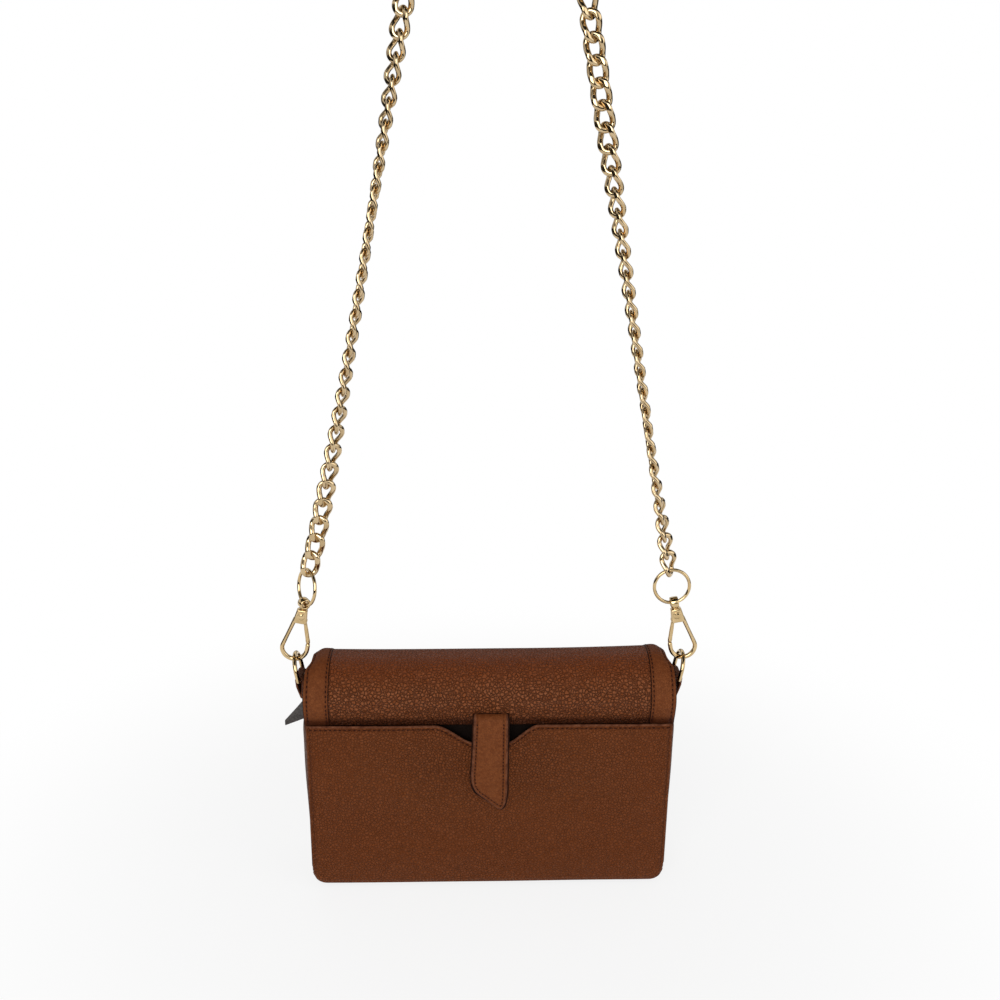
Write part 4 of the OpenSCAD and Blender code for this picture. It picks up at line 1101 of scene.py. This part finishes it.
# The head: a rounded block that narrows upwards, its section cos and sin to the power square.
def claspHead(side):
    c, tall = clasp, clasp["headTop"] - clasp["headLow"]
    t = np.concatenate([[0.0, 0.12, 0.4], np.linspace(0.9, 7.2, 9), [tall - 0.5, tall - 0.15, tall]])[:, None]
    soft = np.array([0.9, 0.965, 1.0] + [1.0] * 9 + [1.0, 0.965, 0.9])[:, None]
    k = t / tall
    inner = c["headIn"] + (c["topIn"] - c["headIn"]) * k
    outer = c["headOut"] + (c["topOut"] - c["headOut"]) * k
    across, thick = (signedPower(f(circle(40)), c["square"]) for f in (np.cos, np.sin))
    middle = (inner + outer) / 2
    rings = onStrap(side, middle + (outer - inner) / 2 * soft * across, c["headLow"] + t,
                    c["thick"] / 2 * soft * thick * (1 - 0.05 * k))
    return closedRings(rings, onStrap(side, middle[[0, -1], 0], c["headLow"] + t[[0, -1], 0]))


# Spine, round end and nose: one bar that changes from a flat strip to round wire.
def claspHook(side):
    c, w, a = clasp, clasp["wire"] / 2, np.linspace(0, -np.pi, 44)[1:]
    start, turn = np.array([c["spineU"] + 0.1, c["headLow"] + 1.6]), np.array([hookU + c["r"], hookS])
    spine = start + (turn - start) * np.linspace(0, 1, 26)[:, None]
    bend = np.stack([hookU + c["r"] * np.cos(a), hookS + c["r"] * np.sin(a)], -1)
    nose = np.stack([np.full(8, hookU - c["r"]), np.linspace(hookS, noseS - 0.8, 9)[1:]], -1)
    line = np.concatenate([spine, bend, nose])
    for _ in range(4):                  # softens the corners
        line[1:-1] = 0.25 * line[:-2] + 0.5 * line[1:-1] + 0.25 * line[2:]
    length = runLength(line)
    wide = w * (1 - 0.12 * hill(length, 9, 8))
    high = w * (1.0 + 0.22 * (1 - ease(length, 0, 24)))
    return tube(onStrap(side, line[:, 0], line[:, 1]), wide, high, (0, 1.0, 0), 20, True, 0.8)


def claspCollar(side):                  # a low turned ring on the head's top
    up, out = strapWays(side)
    return turnedShape([(1.3, -0.1), (2.35, -0.05), (2.55, 0.12), (2.35, 0.34), (1.25, 0.36)],
                       onStrap(side, 0, clasp["headTop"]), up, out)


def claspRivets(side):                  # plain round bosses with a shallow ring, on both faces of the head
    profile = [(2.1, -0.3), (2.2, 0.02), (2.14, 0.2), (1.95, 0.28), (1.72, 0.2), (1.55, 0.18), (1.3, 0.3),
               (0.7, 0.4), (0.1, 0.42)]
    out = clasp["thick"] / 2 - 0.02
    return [turnedShape(profile, onStrap(side, 0.35, clasp["headLow"] + 4.5, face * out), (0, face, 0),
                        strapWays(side)[0], 32) for face in (-1, 1)]


# The gate: a round bar from the nose to its pin, with a flat knuckle at the pin and a ring at the nose.
def claspGate(side):
    c, r, w, up = clasp, clasp["knuckleR"], clasp["knuckleW"] / 2, strapWays(side)[0]
    tip = np.array([hookU - c["r"], noseS + c["gateD"] / 2 + 0.2 - 0.9])
    pin = np.array([c["pivotU"], c["pivotS"]])
    bar = (tip + (pin - tip) * np.linspace(0, 1, 24)[:, None])[1:-1]
    length = np.linspace(0, np.linalg.norm(pin - tip), 24)[1:-1]
    slim = c["gateD"] / 2 * (1 + 0.05 * hill(length, 1.5, 1.5) - 0.12 * ease(length, 8, 11))
    high = np.minimum(slim, c["gateThick"] / 2)
    gate = tube(onStrap(side, bar[:, 0], bar[:, 1]), slim, high, (0, 1.0, 0), 18)
    edge = [(r - 0.3, w), (r - 0.08, w - 0.02), (r, w - 0.15)]
    knuckle = turnedShape([(x, -y) for x, y in edge] + edge[::-1], onStrap(side, *pin), (0, 1, 0), up, 28)
    ring = turnedShape([(1.15, -0.3), (1.3, -0.2), (1.3, 0.2), (1.15, 0.3)],
                       onStrap(side, *(tip + (pin - tip) * 0.12)), onStrap(side, *pin) - onStrap(side, *tip),
                       (0, 1, 0), 24)
    return [gate, knuckle, ring]


# The eye: a broad band round the O-ring, on the post that turns in the head. The left ring is turned
# about the strap line; flat lies across the O-ring's plane and deep along its axis.
def eyeAndRing(side):
    up, out = strapWays(side)
    turned = math.radians(strap["oringTurn"]) if side < 0 else 0.0
    flat = out * math.cos(turned) + np.array([0, 1.0, 0]) * math.sin(turned)
    deep = np.cross(up, flat)
    mid = onStrap(side, 0, eyeS)
    bandR = (strap["eyeD"] / 2 + (strap["oringWire"] / 2 + 0.75)) / 2
    path = ringLine(mid, bandR, deep, up, 48)
    band = tube(path, clasp["eyeWide"], strap["eyeD"] / 2 - bandR, unit(path - mid), 16, False,
                clasp["eyeSquare"])
    profile = [(1.2, -3.2), (1.7, -3.1), (1.7, -2.3), (1.2, -2.2), (1.2, -0.4), (1.5, 0.2), (2.0, 0.9),
               (1.6, 1.4), (0.3, 1.5)]
    neck = turnedShape(profile, onStrap(side, 0, clasp["headTop"] + 0.1), up, out)
    wire = strap["oringWire"] / 2
    oring = tube(ringLine(onStrap(side, 0, oringS), strap["oringR"], flat, up), wire, wire, deep, 18, False)
    return [band, neck], [oring]


def clasps():
    for side, label in bagEnds:
        end = label.lower()
        parts = [claspHead(side), claspHook(side), claspCollar(side)]
        addPiece("clasp" + label, parts, "hook_" + end, "clasp_" + end)
        addPiece("claspRivet" + label, claspRivets(side), "hook_" + end, "clasp_rivet_" + end)
        addPiece("claspGate" + label, claspGate(side), "gate_" + end, "clasp_gate_" + end)
        eye, oring = eyeAndRing(side)
        addPiece("swivelEye" + label, eye, "ring_" + end, "swivel_eye_" + end)
        addPiece("oRing" + label, oring, "ring_" + end, "oring_" + end)


# A D-ring: a half circle, two legs and a straight bar with round corners, drawn as (y, height), then
# tilted inwards about its top.
def dRings():
    r, w, corner = strap["dringR"], strap["dringWire"] / 2, strap["dringCorner"]
    top = strap["hookZ"] + strap["dringClear"] + w
    barZ = top - r - strap["dringLeg"]
    a, q = np.linspace(0, np.pi, 40), np.linspace(0, np.pi / 2, 6)[1:-1]
    leg = np.linspace(top - r, barZ + corner, 8)[1:]
    line = np.concatenate([np.stack(run, -1) for run in (
        (r * np.cos(a), top - r + r * np.sin(a)), (np.full(7, -r), leg),
        (-r + corner - corner * np.cos(q), barZ + corner - corner * np.sin(q)),
        (np.linspace(-r + corner, r - corner, 20), np.full(20, barZ)),
        (r - corner + corner * np.sin(q), barZ + corner - corner * np.cos(q)), (np.full(7, r), leg[::-1]))])
    line = line[np.concatenate([[True], np.linalg.norm(np.diff(line, axis=0), axis=1) > 0.05])]
    if np.linalg.norm(line[0] - line[-1]) < 0.05:
        line = line[:-1]
    tilt, drop = math.radians(strap["dringTilt"]), line[:, 1] - top
    for side, label in bagEnds:
        x = side * (strap["hookX"] + drop * math.sin(tilt))
        path = np.stack([x, line[:, 0], top + drop * math.cos(tilt)], -1)
        part = tube(path, w, w, (math.cos(tilt), 0, -side * math.sin(tilt)), 18, False)
        addPiece("dRing" + label, [part], "bag", "dring_" + label.lower())


chains()
clasps()
dRings()
print("strap hardware made")


kept = dict(gate_pin_left="gold", gate_pin_right="gold", gate_spring_left="steel", gate_spring_right="steel",
            bottom_board="card", pocket_magnet="steel", magnet_patch="lining", tab_magnet="steel")
for node, look in kept.items():
    data = frame["nodes"][node].data
    data.materials.clear()
    data.materials.append(finish[look])
print("kept nodes painted")


# Lengths are in metres, and lamp places count from the bag's foot.
studio = dict(floorDrop=0.003, floorHalf=0.9, floorGrey=0.86, glowNear=0.82, glowFrom=0.14, glowTo=0.42,
              ambient=0.44, aim=0.09)
lamps = dict(key=dict(place=(-0.35, -1.55, 0.75), size=1.1, power=17.5),
             fill=dict(place=(1.3, -0.9, 0.5), size=1.2, power=5.0),
             backTop=dict(place=(-0.4, 1.5, 0.9), size=1.2, power=3.5))
eye = dict(focal=1100, picture=1000, sensor=36, pitch=18.05, yaw=2.1, roll=-0.67,
           place=(-16.6, -587.5, 427.6))


def blended(t, share, a, b):            # shader a, or b by the share
    node = t.add("ShaderNodeMixShader", Fac=share)
    t.join(a, node.inputs[1])
    t.join(b, node.inputs[2])
    return node.outputs[0]


def floor():                            # a pale floor that takes the shadow and glows white farther out
    z, half, grey = footZ * mm - studio["floorDrop"], studio["floorHalf"], studio["floorGrey"]
    mesh = bpy.data.meshes.new("floor")
    corners = [(-half, -half, z), (half, -half, z), (half, half, z), (-half, half, z)]
    mesh.from_pydata(corners, [], [(0, 1, 2, 3)])
    obj = linked("floor", mesh)
    mat = bpy.data.materials.new("paleFloor")
    t = emptied(mat)
    ray = t.add("ShaderNodeLightPath").outputs
    plain = t.add("ShaderNodeBsdfDiffuse", Color=(grey, grey, grey, 1)).outputs[0]
    glow = t.add("ShaderNodeEmission", Color=(1, 1, 1, 1), Strength=1.0).outputs[0]
    away = t.add("ShaderNodeVectorMath", dict(operation="DISTANCE"), _0=t.place(), _1=(0, 0, z))
    near = t.spread(away.outputs["Value"], studio["glowFrom"], studio["glowTo"], studio["glowNear"], 1.0)
    seen = t.math("MAXIMUM", ray["Is Camera Ray"], ray["Is Glossy Ray"])
    seen = t.math("MAXIMUM", seen, ray["Is Transmission Ray"])
    t.feed(t.add("ShaderNodeOutputMaterial").inputs, Surface=blended(t, t.times(seen, near), plain, glow))
    mesh.materials.append(mat)


def world():                            # white behind, soft light, and dark bands for what shines
    sky = bpy.data.worlds.new("studio")
    bpy.context.scene.world = sky
    t = emptied(sky)
    ray = t.add("ShaderNodeLightPath").outputs
    where = t.add("ShaderNodeTexCoord").outputs["Generated"]
    up = t.add("ShaderNodeSeparateXYZ", Vector=where).outputs[2]
    rise = t.math("ABSOLUTE", t.math("SUBTRACT", up, 0.4))
    level = t.timesPlus(rise, -0.9, t.times(t.noise(where, 1.6, 1.0), 1.2))
    dim, mirror, white = (t.add("ShaderNodeBackground", Color=(1, 1, 1, 1), Strength=strength).outputs[0]
                          for strength in (studio["ambient"], t.spread(level, 0.27, 0.52, 0.02, 0.9), 1.0))
    shiny = t.math("MAXIMUM", ray["Is Glossy Ray"], ray["Is Transmission Ray"])
    surface = blended(t, ray["Is Camera Ray"], blended(t, shiny, dim, mirror), white)
    t.feed(t.add("ShaderNodeOutputWorld").inputs, Surface=surface)


def lamp(name, place, size, power):     # a square lamp that looks at the bag
    data = bpy.data.lights.new(name, "AREA")
    data.size, data.energy = size, power
    obj = linked(name, data)
    place = np.array(place) + [0, 0, footZ * mm]
    back = unit(place - [0, 0, footZ * mm + studio["aim"]])
    right = unit(np.cross([0, 0, 1.0], back))
    up = np.cross(back, right)
    obj.matrix_world = Matrix([[right[k], up[k], back[k], place[k]] for k in range(3)] + [[0, 0, 0, 1]])
    obj.visible_glossy = name != "backTop"      # its mirror image would haze the flap's far leather


# Focal and picture are in pixels. The eye looks ahead by yaw and pitch, and is rolled about that way.
def camera():
    a, b, c = (math.radians(eye[k]) for k in ("pitch", "yaw", "roll"))
    ahead = np.array([math.sin(b) * math.cos(a), math.cos(b) * math.cos(a), -math.sin(a)])
    right = np.array([math.cos(b), -math.sin(b), 0])
    down = np.cross(ahead, right)
    across, below = math.cos(c) * right + math.sin(c) * down, math.cos(c) * down - math.sin(c) * right
    data = bpy.data.cameras.new("camera")
    data.sensor_fit, data.sensor_width = "HORIZONTAL", eye["sensor"]
    data.lens = eye["focal"] * eye["sensor"] / eye["picture"]
    data.clip_start, data.clip_end = 0.01, 50
    obj = linked("camera", data)
    place = (np.array(eye["place"]) + [0, 0, footZ]) * mm
    obj.matrix_world = Matrix([[across[k], -below[k], -ahead[k], place[k]] for k in range(3)]
                              + [[0, 0, 0, 1]])
    bpy.context.scene.camera = obj


floor()
world()
for name, values in lamps.items():
    lamp(name, **values)
camera()
bpy.context.scene.view_settings.view_transform = "Standard"
print("studio made")
